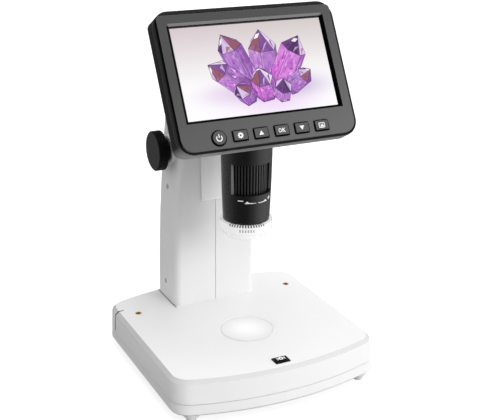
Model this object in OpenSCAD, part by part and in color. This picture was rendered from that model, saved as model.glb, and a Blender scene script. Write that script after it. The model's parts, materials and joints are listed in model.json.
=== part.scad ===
// Free-standing digital microscope with its own display.
// Millimetres, +Z up: X runs to the right, Y runs back, and the origin is the middle of the
// footprint on the plane that the feet stand on.

/* [Base] */
// Width of the base at its lower edge
base_w = 136.8; // [128:0.1:150]
// Depth of the base at its lower edge, over both bows
base_d = 141.6; // [138:0.1:152]
// Height of the base without its feet
base_h = 21.3; // [20:0.1:26]
// Radius of the bowed front and back edges in plan
base_bow_r = 195; // [170:1:300]
// Radius of the base corners in plan
base_corner_r = 13; // [9:0.5:18]
// Width of the bevel around the deck
deck_bevel_w = 2.4; // [1:0.1:3]
// Height of the bevel around the deck
deck_bevel_h = 2.1; // [1:0.1:3]
// How far the front wall leans out between bevel and lower edge
front_lean = 3.1; // [0:0.1:4]
// How far each side wall leans out
side_lean = 0.8; // [0:0.1:2]
// How far the back wall leans out
back_lean = 0.3; // [0:0.1:2]
// Wall thickness of the base mouldings
base_wall = 2.5; // [2:0.1:3]
// Height of the bottom cover
cover_h = 7; // [6:0.1:8]
// Gap shown where two mouldings meet
seam_gap = 0.3; // [0.2:0.05:0.5]
// Height of the rubber feet
foot_h = 6.2; // [5:0.1:7]
// Radius of the rubber feet
foot_r = 5; // [4:0.1:6]
// Height of the narrower pad below each foot
foot_pad_h = 3.8; // [2.5:0.1:4.2]
// Radius of that pad
foot_pad_r = 3; // [2:0.1:3.8]
// Distance of the feet from the middle, left and right
foot_x = 57; // [50:0.5:58]
// Distance of the feet from the front and back edges
foot_inset = 15.5; // [15:0.5:20]
// Width of the slit in the left wall
slit_w = 1; // [0.8:0.1:1.5]
// Depth of the slit below the deck
slit_drop = 13; // [8:0.5:13]
// Distance of the slit from the back edge
slit_inset = 26; // [22:0.5:34]

/* [Stage] */
// Distance of the stage centre from the front edge
stage_setback = 58; // [54:0.5:62]
// Radius of the lit stage disc
disc_r = 17.25; // [15:0.25:18]
// Thickness of the stage disc
disc_t = 2.5; // [2:0.1:3]
// Distance between the two threaded inserts
insert_span = 109.1; // [104:0.1:112]
// Distance of the inserts behind the stage centre
insert_setback = 49.8; // [46:0.1:54]
// Core radius of the inserts' M3 thread
insert_bore_r = 1.25; // [1:0.05:1.5]
// Outer radius of the inserts
insert_r = 2.1; // [1.9:0.05:2.4]
// Length of the inserts
insert_l = 6; // [4:0.5:8]
// Distance of the light button in front of the stage centre
button_setback = 45.5; // [44:0.1:46.5]
// Width of the light button's frame
light_frame_w = 9.8; // [9:0.1:12]
// Depth of the light button's frame
light_frame_d = 6.9; // [6.4:0.1:7.4]
// Travel of the light button
light_travel = 0.8; // [0.6:0.1:1]

/* [Column] */
// Width of the column where it stands on the deck
column_w = 58; // [56:0.5:62]
// Depth of the column
column_d = 31.8; // [31:0.1:33]
// Distance of the column's back from the back edge of the base
column_inset = 3.8; // [3.6:0.1:5]
// Height of the column
column_h = 156; // [154:0.5:164]
// Radius of the curve that narrows the column towards the top
column_side_r = 1190; // [1150:10:1600]
// Radius of the column's upright corners
column_corner_r = 4.5; // [3:0.5:6]
// Wall thickness of the column mouldings
column_wall = 2.5; // [2:0.1:2.8]
// Height of the lower column screw above the deck
screw_low_h = 12; // [11:0.5:14]
// Height of the upper column screw above the deck
screw_high_h = 78.5; // [72:0.5:82]

/* [Focus drive] */
// Height of the focus shaft above the deck
shaft_h = 104; // [102:0.5:106]
// Distance of the shaft behind the column's front face
shaft_setback = 16.3; // [16.3:0.1:17]
// Radius of the focus shaft
shaft_r = 2.5; // [2:0.05:2.6]
// Running clearance of shafts, rods and pins in their bores
running_gap = 0.05; // [0.03:0.01:0.08]
// Gear module of rack and pinion
gear_module = 0.9; // [0.85:0.01:0.95]
// Number of teeth on the pinion
pinion_teeth = 14; // [13:1:14]
// Width of the pinion
pinion_w = 5.6; // [4:0.1:5.8]
// Play between the tooth flanks
backlash = 0.3; // [0.2:0.05:0.4]
// Radius of the knurled knob rims
knob_r = 12.8; // [11:0.1:14]
// Width of the knob rims
knob_w = 6; // [5:0.1:8]
// Radius of the knob hubs
knob_hub_r = 7.2; // [6:0.1:8.5]
// Distance between the outer faces of the two knobs
knob_span = 73; // [72:0.5:78]
// Radius of the boss around each end of the shaft
boss_r = 9.5; // [9:0.1:10]
// Distance between the end faces of the two bosses
boss_span = 53; // [52:0.1:53.4]
// Radius of the guide rods
rod_r = 2; // [1.7:0.05:2.1]
// Distance between the guide rods
rod_span = 24; // [23:0.1:24.5]
// How far the head can move down from rest
travel_down = 34; // [30:0.5:34]
// How far the head can move up from rest
travel_up = 8; // [5:0.5:8]

/* [Head] */
// Distance of the optical axis behind the stage centre
axis_setback = 3.2; // [2:0.1:4]
// Gap between the deck and the nose at rest
nose_gap = 64.5; // [60:0.5:66]
// Height of the clear cap at the tip of the nose
nose_cap_h = 3.9; // [3:0.1:5]
// Height of the clear flange above the cap
nose_flange_h = 6.1; // [5:0.1:7]
// Radius of the clear cap
nose_cap_r = 12.8; // [12:0.1:13.2]
// Radius of the clear flange
nose_flange_r = 16.1; // [15.5:0.1:17]
// Height of the barrel
barrel_h = 49.5; // [48:0.1:51]
// Radius of the barrel at its top
barrel_r = 15.5; // [15.3:0.1:16]
// How much the barrel's radius shrinks towards the nose
barrel_taper = 1.3; // [0.6:0.1:1.5]
// Wall thickness of the barrel
barrel_wall = 1.9; // [1.6:0.1:1.95]
// Half the angle that the wheel window opens
window_half_angle = 66; // [50:1:70]
// Slope of the window's sides, in degrees of the barrel's round
window_flank = 4.5; // [2:0.5:8]
// Height of the wheel window
window_h = 19; // [16:0.5:20]
// Height of the window's lower edge above the barrel's lower edge
window_drop = 18.5; // [18:0.5:20]
// Radius over the ribs of the magnification wheel
wheel_r = 12.6; // [12.2:0.05:12.65]
// Number of ribs on the magnification wheel
wheel_ribs = 42; // [30:1:48]
// Height of a rib
rib_h = 0.9; // [0.6:0.1:1]
// Outer radius of the lens sleeve
sleeve_r = 9; // [8.6:0.1:9.4]
// Bore radius of the lens sleeve
sleeve_bore_r = 7.8; // [7.4:0.1:7.9]
// Half width of the head housing
head_r = 19; // [18:0.1:20]
// Height of the head housing with its cover
head_h = 22; // [21:0.5:22.5]
// Thickness of the head housing's walls
head_wall = 2.2; // [1.8:0.1:2.6]
// Width of the arm between head and column
arm_w = 26; // [24:0.5:30]
// Width of the plate that slides on the column's front
plate_w = 20.6; // [19.5:0.1:24]
// Thickness of the sliding plate
plate_t = 0.9; // [0.7:0.1:1.4]
// Height of the neck that joins the arm to the carriage through the column's slot
neck_h = 28; // [26:0.5:28.5]

/* [Display] */
// Lean of the display from upright, in degrees
display_tilt = 29.1; // [29:0.1:32]
// Width of the border beside the screen opening
side_border = 8.1; // [7.1:0.1:9.5]
// Height of the display above the screen's centre
display_up = 36.1; // [35.5:0.1:38]
// Height of the display below the screen's centre
display_down = 46.2; // [46:0.1:48]
// Thickness of the front frame behind its rim
frame_t = 2.5; // [2.4:0.1:3]
// Depth of the rear cover
rear_d = 11.2; // [11:0.1:11.6]
// Radius that rounds the rear cover's edge
rear_edge_r = 6; // [4:0.5:6]
// Radius of the display's corners
display_corner_r = 9.5; // [8:0.5:11]
// Margin between the rim and the raised front plate
plate_margin = 2; // [1.8:0.1:2.4]
// How far the front plate stands above the rim
plate_rise = 1.3; // [0.8:0.1:1.6]
// Radius of the front plate's upper corners
plate_corner_r = 2.5; // [2.5:0.1:5]
// Width of the groove around the front plate
groove_w = 1; // [0.6:0.1:1.2]
// Width of the screen opening
screen_w = 97.6; // [96:0.1:99]
// Height of the screen opening
screen_h = 55.1; // [54:0.1:56]
// Depth of the screen below the front plate
screen_recess = 2; // [1.9:0.1:2.2]
// Wall thickness of the display housing
display_wall = 2; // [1.6:0.1:2.2]
// Distance of the button row below the screen's centre
button_drop = 38.7; // [38.6:0.1:39]
// Spacing of the buttons
button_pitch = 13; // [11.4:0.1:13.2]
// Width of the buttons
button_w = 9.2; // [8.5:0.1:10]
// Height of the buttons
button_h = 6.2; // [5.8:0.1:6.6]
// Radius of the round power button
power_r = 4.3; // [3.8:0.1:4.6]
// Gap all round a button
button_gap = 0.35; // [0.25:0.05:0.4]
// How far the buttons stand above the front plate
button_rise = 0.6; // [0.5:0.1:0.8]
// Travel of the buttons
button_travel = 0.5; // [0.4:0.05:0.6]
// Distance of the hinge axis behind the screen
hinge_depth = 20; // [19.5:0.1:21]
// Distance of the hinge axis below the screen's centre
hinge_drop = 5; // [4:0.1:6]
// Height of the hinge axis above the head's top
hinge_rise = 9.3; // [9:0.1:11]
// Distance of the hinge axis behind the optical axis
hinge_setback = 4.6; // [4.2:0.1:6]
// Radius of the hinge pin
pin_r = 1.75; // [1.5:0.05:2]
// Width of the knuckle between the hinge ears
knuckle_w = 18; // [16:0.1:20]
// Thickness of the steel hinge ears
ear_t = 2; // [1.6:0.1:2.4]

/* [Hidden] */

eps = 0.01;
fit_gap = 0.2;          // between fixed pieces that drop into each other
slide_gap = 0.3;        // between flat faces that pass each other

// Base
deck_z = foot_h + base_h;
seam_z = foot_h + cover_h;
front_y = -base_d / 2;
back_y = base_d / 2;
bevel_z = deck_z - deck_bevel_h;
lean_h = base_h - deck_bevel_h;
floor_z = foot_h + base_wall;
foot_edge = 0.5;
ceiling_z = deck_z - base_wall;
base_screw_r = 1.3;
base_boss_r = 4;
base_screw_x = foot_x - 2;
base_screw_y = back_y - foot_inset - foot_r - base_boss_r - 0.8;
slit_y = back_y - slit_inset;
slit_reach = 4;
power_board_w = 36;
power_board_d = 22;
power_board_y = back_y - base_wall - power_board_d / 2 - 6;
power_board_z = floor_z + 2;
dc_x = -28;
dc_z = seam_z + 7;
dc_r = 4;
dc_body_w = 10;
dc_body_d = 9;
dc_body_rise = 4.6;     // of the inlet's body above its axis
dc_nose_l = 4;          // length of the round nose that reaches into the back wall
dc_bore_r = 2.75;
dc_bore_l = 9;
dc_pin_r = 1;
dc_back_y = back_y - dc_x * dc_x / (2 * base_bow_r) - 0.8;

// Stage
stage_y = front_y + stage_setback;
ledge_w = 2;
ledge_t = 2;
ledge_z = deck_z - disc_t - ledge_t;
light_y = stage_y - button_setback;
light_flange_t = 0.5;
light_wall = 0.8;
light_body_h = 8;
light_cap_w = light_frame_w - 4 * light_wall;
light_cap_d = light_frame_d - 4 * light_wall;
board_t = 1.6;
insert_y = stage_y + insert_setback;
ballast_w = 84;
ballast_d = 34;
ballast_t = 5;
ballast_y = stage_y - 6;

// Column
column_back_y = back_y - column_inset;
column_front_y = column_back_y - column_d;
column_top_z = deck_z + column_h;
screw_y = column_front_y + 17.3;
screw_hole_r = 1.8;
screw_head_r = 1.6;
screw_shank_r = 1.2;
screw_boss_r = 3.6;
screw_sink = 3;
cable_hole_r = 3.5;
cable_y = screw_y + 2;
foot_plate_t = 4;
foot_plate_w = 40;
foot_screw_r = 1.5;
foot_screw_x = 13;
foot_rib_lap = 3;       // how far the column's ribs reach over the foot plate
foot_rib_t = 2.5;
foot_rib_d = 14;
rib_y = screw_y - foot_rib_d / 2;
slide_y = column_front_y - fit_gap;

// Heights of the head
axis_y = stage_y + axis_setback;
nose_z = deck_z + nose_gap;
flange_z = nose_z + nose_cap_h;
barrel_z = flange_z + nose_flange_h;
head_z = barrel_z + barrel_h;
head_top_z = head_z + head_h;

// Focus drive
shaft_y = column_front_y + shaft_setback;
shaft_z = deck_z + shaft_h;
pinion_pitch_r = gear_module * pinion_teeth / 2;
addendum = 0.83 * gear_module;
dedendum = 1.17 * gear_module;
tooth_pitch = PI * gear_module;
rack_pitch_y = shaft_y - pinion_pitch_r;
rack_root_y = rack_pitch_y - dedendum;
bush_r = shaft_r + 1.7;
bush_l = 5.5;
knob_shaft_l = knob_span / 2 - 2.5;
knob_x = boss_span / 2 + 0.4;
knob_hub_l = knob_span / 2 - knob_w - knob_x;
knurl_count = 60;
rod_y = column_front_y + 6.6;
block_w = rod_span + 9;
block_front_y = column_front_y + column_wall + 0.6;
block_back_y = rod_y + rod_r + running_gap + 1.5;
block_h = 44;
neck_w = 16;
arm_screw_low = 3.5;    // above the barrel's top
arm_screw_pitch = 5;
arm_thread_l = 3;
neck_top_z = head_z + arm_screw_low + arm_screw_pitch + 2.5;
neck_low_z = neck_top_z - neck_h;
slot_low_z = neck_low_z - travel_down - 0.5;
plate_low_z = slot_low_z - 0.8;
plate_bevel_h = 1.1;    // of the bevel at the sliding plate's lower edge
plate_lip = 0.2;        // thickness left below that bevel
block_top_z = neck_top_z;
block_low_z = block_top_z - block_h;
slot_top_z = neck_top_z + travel_up + 0.5;
rack_w = 6.4;
rack_back_t = 1.8;
top_block_t = 4;
rod_top_z = column_top_z - 8;
wall_fit = 0.2;         // between the top block and the column's walls
rack_end = 6;           // how far the rack goes on past the pinion at either end of the travel

// Head
cover_t = 6;
window_z = barrel_z + window_drop;
wheel_z = window_z - 2;
wheel_h = window_h + 4;
wheel_core_r = wheel_r - rib_h;
rib_w = PI * wheel_r / wheel_ribs;
sleeve_flange_t = 4;
shoulder_z = wheel_z + wheel_h + slide_gap;
shoulder_w = 2.2;
retainer_t = 1.6;
carrier_l = 20;
carrier_z = wheel_z - 7;
plate_top_z = neck_top_z + 12;
arm_h = head_h - 1;
arm_back_y = slide_y - plate_t;
arm_front_y = axis_y + head_r + 0.4 * (arm_back_y - axis_y - head_r);
arm_wall = 2.4;
cable_duct_w = 14;
cable_duct_h = 7;
head_gap = 1.5;
light_path_r = 6;
bracket_t = 1.5;
sleeve_z = barrel_z + 5;
lens_r = 5.6;
lens_seat_h = 4;
sensor_board_w = 24;
sensor_board_d = 22;
sensor_w = 10;
nose_flutes = 48;
nose_bore_r = 10.4;
nose_spigot_h = 2;

// Display, in its own frame: x across, y back from the screen, z up along the screen
hinge_y = axis_y + hinge_setback;
hinge_z = head_top_z + hinge_rise;
rim_y = -(screen_recess - plate_rise);
frame_back_y = rim_y + frame_t;
rear_front_y = frame_back_y + seam_gap;
rear_back_y = rear_front_y + rear_d;
display_w = screen_w + 2 * side_border;
display_mid = (display_up - display_down) / 2;
display_h = display_up + display_down;
knuckle_r = 5;
ear_r = 5.4;
ear_gap = 0.3;
lcd_t = 3;
lcd_w = screen_w + 7.8;
lcd_h = screen_h + 8.9;
lcd_fit = 0.6;
button_flange = 0.6;
button_flange_t = 0.7;
plate_margin_top = 2.75;
plate_margin_low = 1.6;
screen_shift = -0.35;
groove_depth = 1;
groove_edge = 0.7;      // of the rim left outside the groove
visor_h = 1.3;          // of the slope above the screen
visor_d = 1.2;
pocket_margin = (display_w - lcd_w) / 2 - lcd_fit;
pocket_corner_r = 2;
main_board_h = lcd_h - 6;
chip_w = 14;
chip_t = 1.4;
main_board_y = rear_back_y - display_wall - 3.9;
button_board_y = 2.2;
post_x = 42;
post_z = 25;
card_z = 8;
usb_z = -11;
case_screw_x = display_w / 2 - 10;
case_screw_down = display_down - 6.5;
case_screw_r = 1.1;
case_boss_r = 2.4;

// Half width of the column at height h above the deck
function column_half(h) = column_w / 2 - h * h / (2 * column_side_r);

// Radius of the barrel at height h above its lower edge
function barrel_radius(h) = barrel_r - barrel_taper * pow((barrel_h - h) / barrel_h, 2);

// Point of an involute of base circle r, at roll angle a (degrees)
function involute(r, a) = r * [cos(a) + a * PI / 180 * sin(a), sin(a) - a * PI / 180 * cos(a)];

// A point turned by angle a about the origin
function turned(p, a) = [p[0] * cos(a) - p[1] * sin(a), p[0] * sin(a) + p[1] * cos(a)];

// The point at angle a (degrees) from the front on a circle round the origin
function front_point(r, a) = [r * sin(a), -r * cos(a)];

// Rectangle with round corners, centred
module round_rect(w, h, r) {
    square([w - 2 * r, h], center = true);
    square([w, h - 2 * r], center = true);
    for (sx = [-1, 1], sy = [-1, 1])
        translate([sx * (w / 2 - r), sy * (h / 2 - r)]) circle(r = r, $fn = 32);
}

// Cylinder along X from x0 to x1
module x_rod(x0, x1, r, fn = 48) {
    translate([x0, 0, 0]) rotate([0, 90, 0]) cylinder(h = x1 - x0, r = r, $fn = fn);
}

// Cylinder along Y from y0 to y1
module y_rod(y0, y1, r, fn = 32) {
    translate([0, y0, 0]) rotate([-90, 0, 0]) cylinder(h = y1 - y0, r = r, $fn = fn);
}

// Tube along Z, standing on z = 0
module tube(h, r, bore_r, fn = 64) {
    difference() {
        cylinder(h = h, r = r, $fn = fn);
        translate([0, 0, -1]) cylinder(h = h + 2, r = bore_r, $fn = fn);
    }
}

// Pan-head screw along Z, its head's top at z = 0 and its shank pointing down
module screw(shank_l, head_r = 2.4, shank_r = 1.3, head_h = 1.6) {
    translate([0, 0, -head_h]) difference() {
        cylinder(h = head_h, r = head_r, $fn = 32);
        for (a = [0, 90]) rotate(a)
            translate([-head_r * 0.55, -0.25, head_h * 0.5]) cube([head_r * 1.1, 0.5, head_h]);
    }
    translate([0, 0, -head_h - shank_l]) cylinder(h = shank_l + eps, r = shank_r, $fn = 24);
}

// ---------- base ----------

// Plan of the base, drawn in by "inset" on all sides, at height z
module base_plan(z, inset = 0) {
    low = min(1, max(0, (bevel_z - z) / lean_h));
    bevel = deck_bevel_w * max(0, (z - bevel_z) / deck_bevel_h);
    half = base_w / 2 - side_lean * (1 - low) - bevel - inset;
    y0 = front_y + front_lean * (1 - low) + bevel + inset;
    y1 = back_y - back_lean * (1 - low) - bevel - inset;
    r = max(1, base_corner_r - bevel - inset);
    offset(r = r, $fn = 56) intersection() {
        translate([-(half - r), y0]) square([2 * (half - r), y1 - y0]);
        translate([0, y0 + base_bow_r]) circle(r = base_bow_r - r, $fn = 240);
        translate([0, y1 - base_bow_r]) circle(r = base_bow_r - r, $fn = 240);
    }
}

// Thin slice of the base's form, its top at height z
module base_slice(z, inset = 0) {
    translate([0, 0, z - eps]) linear_extrude(eps) base_plan(z, inset);
}

module base_screw_places() {
    for (sx = [-1, 1], sy = [-1, 1]) translate([sx * base_screw_x, sy * base_screw_y, 0]) children();
}

module foot_places() {
    for (sx = [-1, 1], sy = [-1, 1]) translate([sx * foot_x, sy * (back_y - foot_inset), 0]) children();
}

module foot_screw_places() {
    for (sx = [-1, 1]) translate([sx * foot_screw_x, cable_y, 0]) children();
}

module base_top_shell() {
    color("#f2f2f0") difference() {
        union() {
            difference() {
                hull() {
                    base_slice(deck_z);
                    base_slice(bevel_z);
                    base_slice(seam_z + eps);
                }
                hull() {
                    base_slice(ceiling_z, base_wall);
                    base_slice(seam_z, base_wall);
                }
            }
            base_screw_places() translate([0, 0, seam_z + 1])
                cylinder(h = ceiling_z - seam_z - 1 + eps, r = base_boss_r, $fn = 32);
            translate([0, stage_y, ledge_z])
                cylinder(h = ceiling_z - ledge_z + eps, r = disc_r + ledge_w, $fn = 96);
            for (sx = [-1, 1]) translate([sx * insert_span / 2, insert_y, deck_z - insert_l - 1])
                cylinder(h = insert_l, r = insert_r + 1.6, $fn = 32);
        }
        base_screw_places() translate([0, 0, seam_z]) cylinder(h = 8, r = base_screw_r, $fn = 24);
        translate([0, stage_y, deck_z - disc_t]) cylinder(h = disc_t + 1, r = disc_r + fit_gap, $fn = 96);
        translate([0, stage_y, ledge_z - 1])
            cylinder(h = ledge_t + 2, r = disc_r - ledge_w, $fn = 96);
        for (sx = [-1, 1]) translate([sx * insert_span / 2, insert_y, deck_z - insert_l])
            cylinder(h = insert_l + 1, r = insert_r, $fn = 32);
        translate([0, light_y, ceiling_z - 1]) linear_extrude(base_wall + 2)
            square([light_frame_w - 2 * light_wall, light_frame_d - 2 * light_wall], center = true);
        translate([-base_w / 2 - 1, slit_y - slit_w / 2, deck_z - slit_drop])
            cube([slit_reach + 1, slit_w, slit_drop + 1]);
        translate([dc_x, back_y, dc_z]) y_rod(-base_wall - 6, 1, dc_r + fit_gap);
        foot_screw_places() translate([0, 0, ceiling_z - 1])
            cylinder(h = base_wall + 2, r = foot_screw_r + 0.1, $fn = 24);
        translate([0, cable_y, ceiling_z - 1]) cylinder(h = base_wall + 2, r = cable_hole_r, $fn = 32);
    }
}

module base_bottom_cover() {
    color("#ebebe9") difference() {
        union() {
            difference() {
                hull() {
                    base_slice(seam_z - seam_gap, 0.15);
                    base_slice(foot_h + 1);
                    base_slice(foot_h + eps, 0.8);
                }
                hull() {
                    base_slice(seam_z + 1, base_wall);
                    base_slice(floor_z, base_wall);
                }
            }
            base_screw_places() translate([0, 0, floor_z - eps])
                cylinder(h = seam_z + 1 - floor_z, r = base_boss_r, $fn = 32);
            for (sx = [-1, 1]) translate([dc_x + sx * power_board_w / 3 - 1, power_board_y, floor_z - eps])
                translate([0, -power_board_d / 3, 0])
                    cube([2, 2 * power_board_d / 3, power_board_z - floor_z]);
        }
        base_screw_places() {
            translate([0, 0, foot_h - 1]) cylinder(h = 4.2, r = 2.8, $fn = 32);
            translate([0, 0, foot_h - 1]) cylinder(h = cover_h + 4, r = base_screw_r + 0.2, $fn = 24);
        }
        foot_places() translate([0, 0, foot_h - 1]) cylinder(h = 2, r = foot_r + 0.1, $fn = 48);
    }
}

module base_feet() {
    color("#cfcfcc") foot_places() {
        cylinder(h = foot_edge, r1 = foot_pad_r - foot_edge, r2 = foot_pad_r, $fn = 48);
        translate([0, 0, foot_edge - eps])
            cylinder(h = foot_pad_h - foot_edge + 2 * eps, r = foot_pad_r, $fn = 48);
        translate([0, 0, foot_pad_h]) cylinder(h = foot_h + 1 - foot_pad_h, r = foot_r, $fn = 48);
    }
}

module base_screws() {
    color("#8f9396") base_screw_places() translate([0, 0, foot_h + 1.6]) mirror([0, 0, 1])
        screw(8, 2.5, base_screw_r);
}

module ballast_plate() {
    color("#6f7478") translate([0, ballast_y, floor_z]) linear_extrude(ballast_t)
        round_rect(ballast_w, ballast_d, 4);
}

// ---------- stage ----------

module stage_disc() {
    color("#ffffff") translate([0, stage_y, deck_z - disc_t]) {
        cylinder(h = disc_t - 0.4, r = disc_r, $fn = 96);
        translate([0, 0, disc_t - 0.4 - eps])
            cylinder(h = 0.4 + eps, r1 = disc_r, r2 = disc_r - 0.4, $fn = 96);
    }
}

module stage_light_board() {
    color("#2f6b45") translate([0, stage_y, ledge_z - board_t])
        cylinder(h = board_t, r = disc_r + 1, $fn = 64);
    color("#fff6d8") for (a = [0 : 60 : 300]) rotate_about_stage(a)
        translate([8, stage_y, ledge_z - eps]) cylinder(h = 1.2, r = 1.6, $fn = 24);
}

module rotate_about_stage(a) {
    translate([0, stage_y, 0]) rotate(a) translate([0, -stage_y, 0]) children();
}

module stage_inserts() {
    color("#b58a4a") for (sx = [-1, 1]) translate([sx * insert_span / 2, insert_y, deck_z - insert_l])
        tube(insert_l, insert_r, insert_bore_r, 32);
}

module light_button_frame() {
    color("#1b1b1c") translate([0, light_y, 0]) difference() {
        union() {
            translate([0, 0, deck_z]) linear_extrude(light_flange_t)
                round_rect(light_frame_w, light_frame_d, 0.6);
            translate([0, 0, deck_z - light_body_h]) linear_extrude(light_body_h + eps)
                square([light_frame_w - 2 * light_wall - fit_gap,
                        light_frame_d - 2 * light_wall - fit_gap], center = true);
        }
        translate([0, 0, deck_z - light_body_h + 3]) linear_extrude(light_body_h + 1)
            square([light_cap_w + fit_gap, light_cap_d + fit_gap], center = true);
    }
}

module light_button() {
    color("#232324") translate([0, light_y, 0]) {
        translate([0, 0, deck_z - 3.5]) linear_extrude(3.5 + light_flange_t + light_travel + 0.1)
            square([light_cap_w - fit_gap, light_cap_d - fit_gap], center = true);
    }
}

// ---------- electrics in the base ----------

module power_board() {
    color("#2f6b45") translate([dc_x, power_board_y, power_board_z + board_t / 2])
        cube([power_board_w, power_board_d, board_t], center = true);
    color("#3a3a3c") translate([dc_x, power_board_y, power_board_z + board_t - eps]) {
        translate([power_board_w / 3, -power_board_d / 5, 0]) cylinder(h = 7, r = 3, $fn = 32);
        translate([-power_board_w * 0.4, -power_board_d / 4, 0]) cube([8, 8, 2]);
    }
}

module dc_socket() {
    color("#1f1f20") difference() {
        union() {
            translate([dc_x - dc_body_w / 2, dc_back_y - dc_nose_l - dc_body_d, power_board_z + board_t])
                cube([dc_body_w, dc_body_d, dc_z + dc_body_rise - power_board_z - board_t]);
            translate([dc_x, dc_back_y, dc_z]) y_rod(-dc_nose_l - 1, 0, dc_r);
        }
        translate([dc_x, dc_back_y, dc_z]) y_rod(-dc_bore_l, 1, dc_bore_r);
    }
    color("#c9ccd0") translate([dc_x, dc_back_y, dc_z]) y_rod(-dc_bore_l - 0.5, -1, dc_pin_r);
}

// ---------- column ----------

// Slice of the column's form at height h above the deck, drawn in by "inset"
module column_slice(h, inset = 0, shrink = 0) {
    half = column_half(h) - inset - shrink;
    r = max(1, column_corner_r - inset);
    depth = column_d - 2 * inset - 2 * shrink;
    translate([0, column_front_y + column_d / 2, deck_z + h - eps])
        linear_extrude(eps) round_rect(2 * half, depth, r);
}

module column_form(inset, top_h) {
    hull() {
        for (f = [0, 0.2, 0.4, 0.56, 0.7, 0.82, 0.92]) column_slice(f * (column_h - 6) + eps, inset);
        column_slice(top_h - 5, inset);
        column_slice(top_h - 1.5, inset, 1.6);
        column_slice(top_h, inset, 4.6);
    }
}

// One half of the hollow column; side is -1 for left, 1 for right
module column_half_shell(side) {
    difference() {
        union() {
            intersection() {
                difference() {
                    column_form(0, column_h);
                    translate([0, 0, -1]) column_form(column_wall, column_h - column_wall + 1);
                }
                translate([side > 0 ? seam_gap / 2 : -column_w, column_front_y - 1, deck_z])
                    cube([column_w - seam_gap / 2, column_d + 2, column_h + 2]);
            }
            translate([0, shaft_y, shaft_z]) mirror([side < 0 ? 1 : 0, 0, 0]) {
                x_rod(boss_span / 2 - bush_l, boss_span / 2 - 0.8, boss_r);
                translate([boss_span / 2 - 0.8 - eps, 0, 0]) rotate([0, 90, 0])
                    cylinder(h = 0.8, r1 = boss_r, r2 = boss_r - 0.8, $fn = 48);
            }
            for (h = [screw_low_h, screw_high_h]) translate([0, screw_y, deck_z + h])
                mirror([side < 0 ? 1 : 0, 0, 0])
                    x_rod(seam_gap / 2, column_half(h) - column_wall / 2, screw_boss_r, 32);
            mirror([side < 0 ? 1 : 0, 0, 0])
                translate([foot_plate_w / 2 - foot_rib_lap, rib_y, deck_z + foot_plate_t + wall_fit])
                    cube([(column_w - foot_plate_w - column_wall) / 2 + foot_rib_lap, foot_rib_d,
                          foot_rib_t]);
        }
        translate([-neck_w / 2 - slide_gap, column_front_y - 1, slot_low_z])
            cube([neck_w + 2 * slide_gap, column_wall + 2, slot_top_z - slot_low_z]);
        translate([0, shaft_y, shaft_z]) x_rod(-column_w, column_w, bush_r + running_gap);
        for (h = [screw_low_h, screw_high_h]) translate([0, screw_y, deck_z + h]) {
            if (side < 0) {
                x_rod(-column_w, -column_half(h) + screw_sink + 2, screw_hole_r, 32);
                x_rod(-column_w, 1, screw_shank_r + 0.2, 24);
            } else {
                x_rod(-1, 12, screw_shank_r, 24);
            }
        }
    }
}

module column_left_shell() { color("#f0f0ef") column_half_shell(-1); }

module column_right_shell() { color("#f0f0ef") column_half_shell(1); }

module column_screws() {
    color("#77797b") for (h = [screw_low_h, screw_high_h])
        translate([-column_half(h) + screw_sink, screw_y, deck_z + h]) rotate([0, -90, 0])
            screw(column_half(h) + 5, screw_head_r, screw_shank_r, 1.8);
}

module column_foot_plate() {
    color("#8b9094") difference() {
        translate([-foot_plate_w / 2, block_front_y, deck_z])
            cube([foot_plate_w, column_d - 2 * (block_front_y - column_front_y), foot_plate_t]);
        for (sx = [-1, 1]) translate([sx * rod_span / 2, rod_y, deck_z - 1])
            cylinder(h = foot_plate_t + 2, r = rod_r, $fn = 32);
        foot_screw_places() translate([0, 0, deck_z - 1])
            cylinder(h = foot_plate_t + 2, r = foot_screw_r, $fn = 24);
        translate([0, cable_y, deck_z - 1]) cylinder(h = foot_plate_t + 2, r = cable_hole_r, $fn = 32);
    }
}

module column_foot_screws() {
    color("#77797b") foot_screw_places() translate([0, 0, ceiling_z - 1.6]) mirror([0, 0, 1])
        screw(base_wall + foot_plate_t, 2.8, foot_screw_r);
}

module column_top_block() {
    color("#d9d9d8") difference() {
        translate([0, column_front_y + column_d / 2, rod_top_z - top_block_t]) linear_extrude(top_block_t)
            round_rect(2 * (column_half(rod_top_z - deck_z) - column_wall - wall_fit),
                       column_d - 2 * (column_wall + wall_fit), column_corner_r - column_wall);
        for (sx = [-1, 1]) translate([sx * rod_span / 2, rod_y, rod_top_z - top_block_t - 1])
            cylinder(h = top_block_t, r = rod_r, $fn = 32);
        translate([-rack_w / 2 - slide_gap, column_front_y + column_wall, rod_top_z - top_block_t - 1])
            cube([rack_w + 2 * slide_gap, rack_pitch_y + 2 - column_front_y - column_wall, top_block_t + 2]);
    }
}

// ---------- focus drive ----------

module guide_rods() {
    color("#c3c7ca") for (sx = [-1, 1]) translate([sx * rod_span / 2, rod_y, deck_z])
        cylinder(h = rod_top_z - 1 - deck_z, r = rod_r, $fn = 32);
}

module shaft_bushes() {
    color("#c79a52") for (s = [0, 1]) translate([0, shaft_y, shaft_z]) mirror([s, 0, 0])
        difference() {
            union() {
                x_rod(boss_span / 2 - bush_l, boss_span / 2, bush_r);
                x_rod(boss_span / 2 - bush_l - 1.2, boss_span / 2 - bush_l, bush_r + 1.2);
            }
            x_rod(boss_span / 2 - bush_l - 2, boss_span / 2 + 1, shaft_r + running_gap);
        }
}

module focus_shaft() {
    color("#b9bdc1") translate([0, shaft_y, shaft_z]) x_rod(-knob_shaft_l, knob_shaft_l, shaft_r);
}

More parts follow.
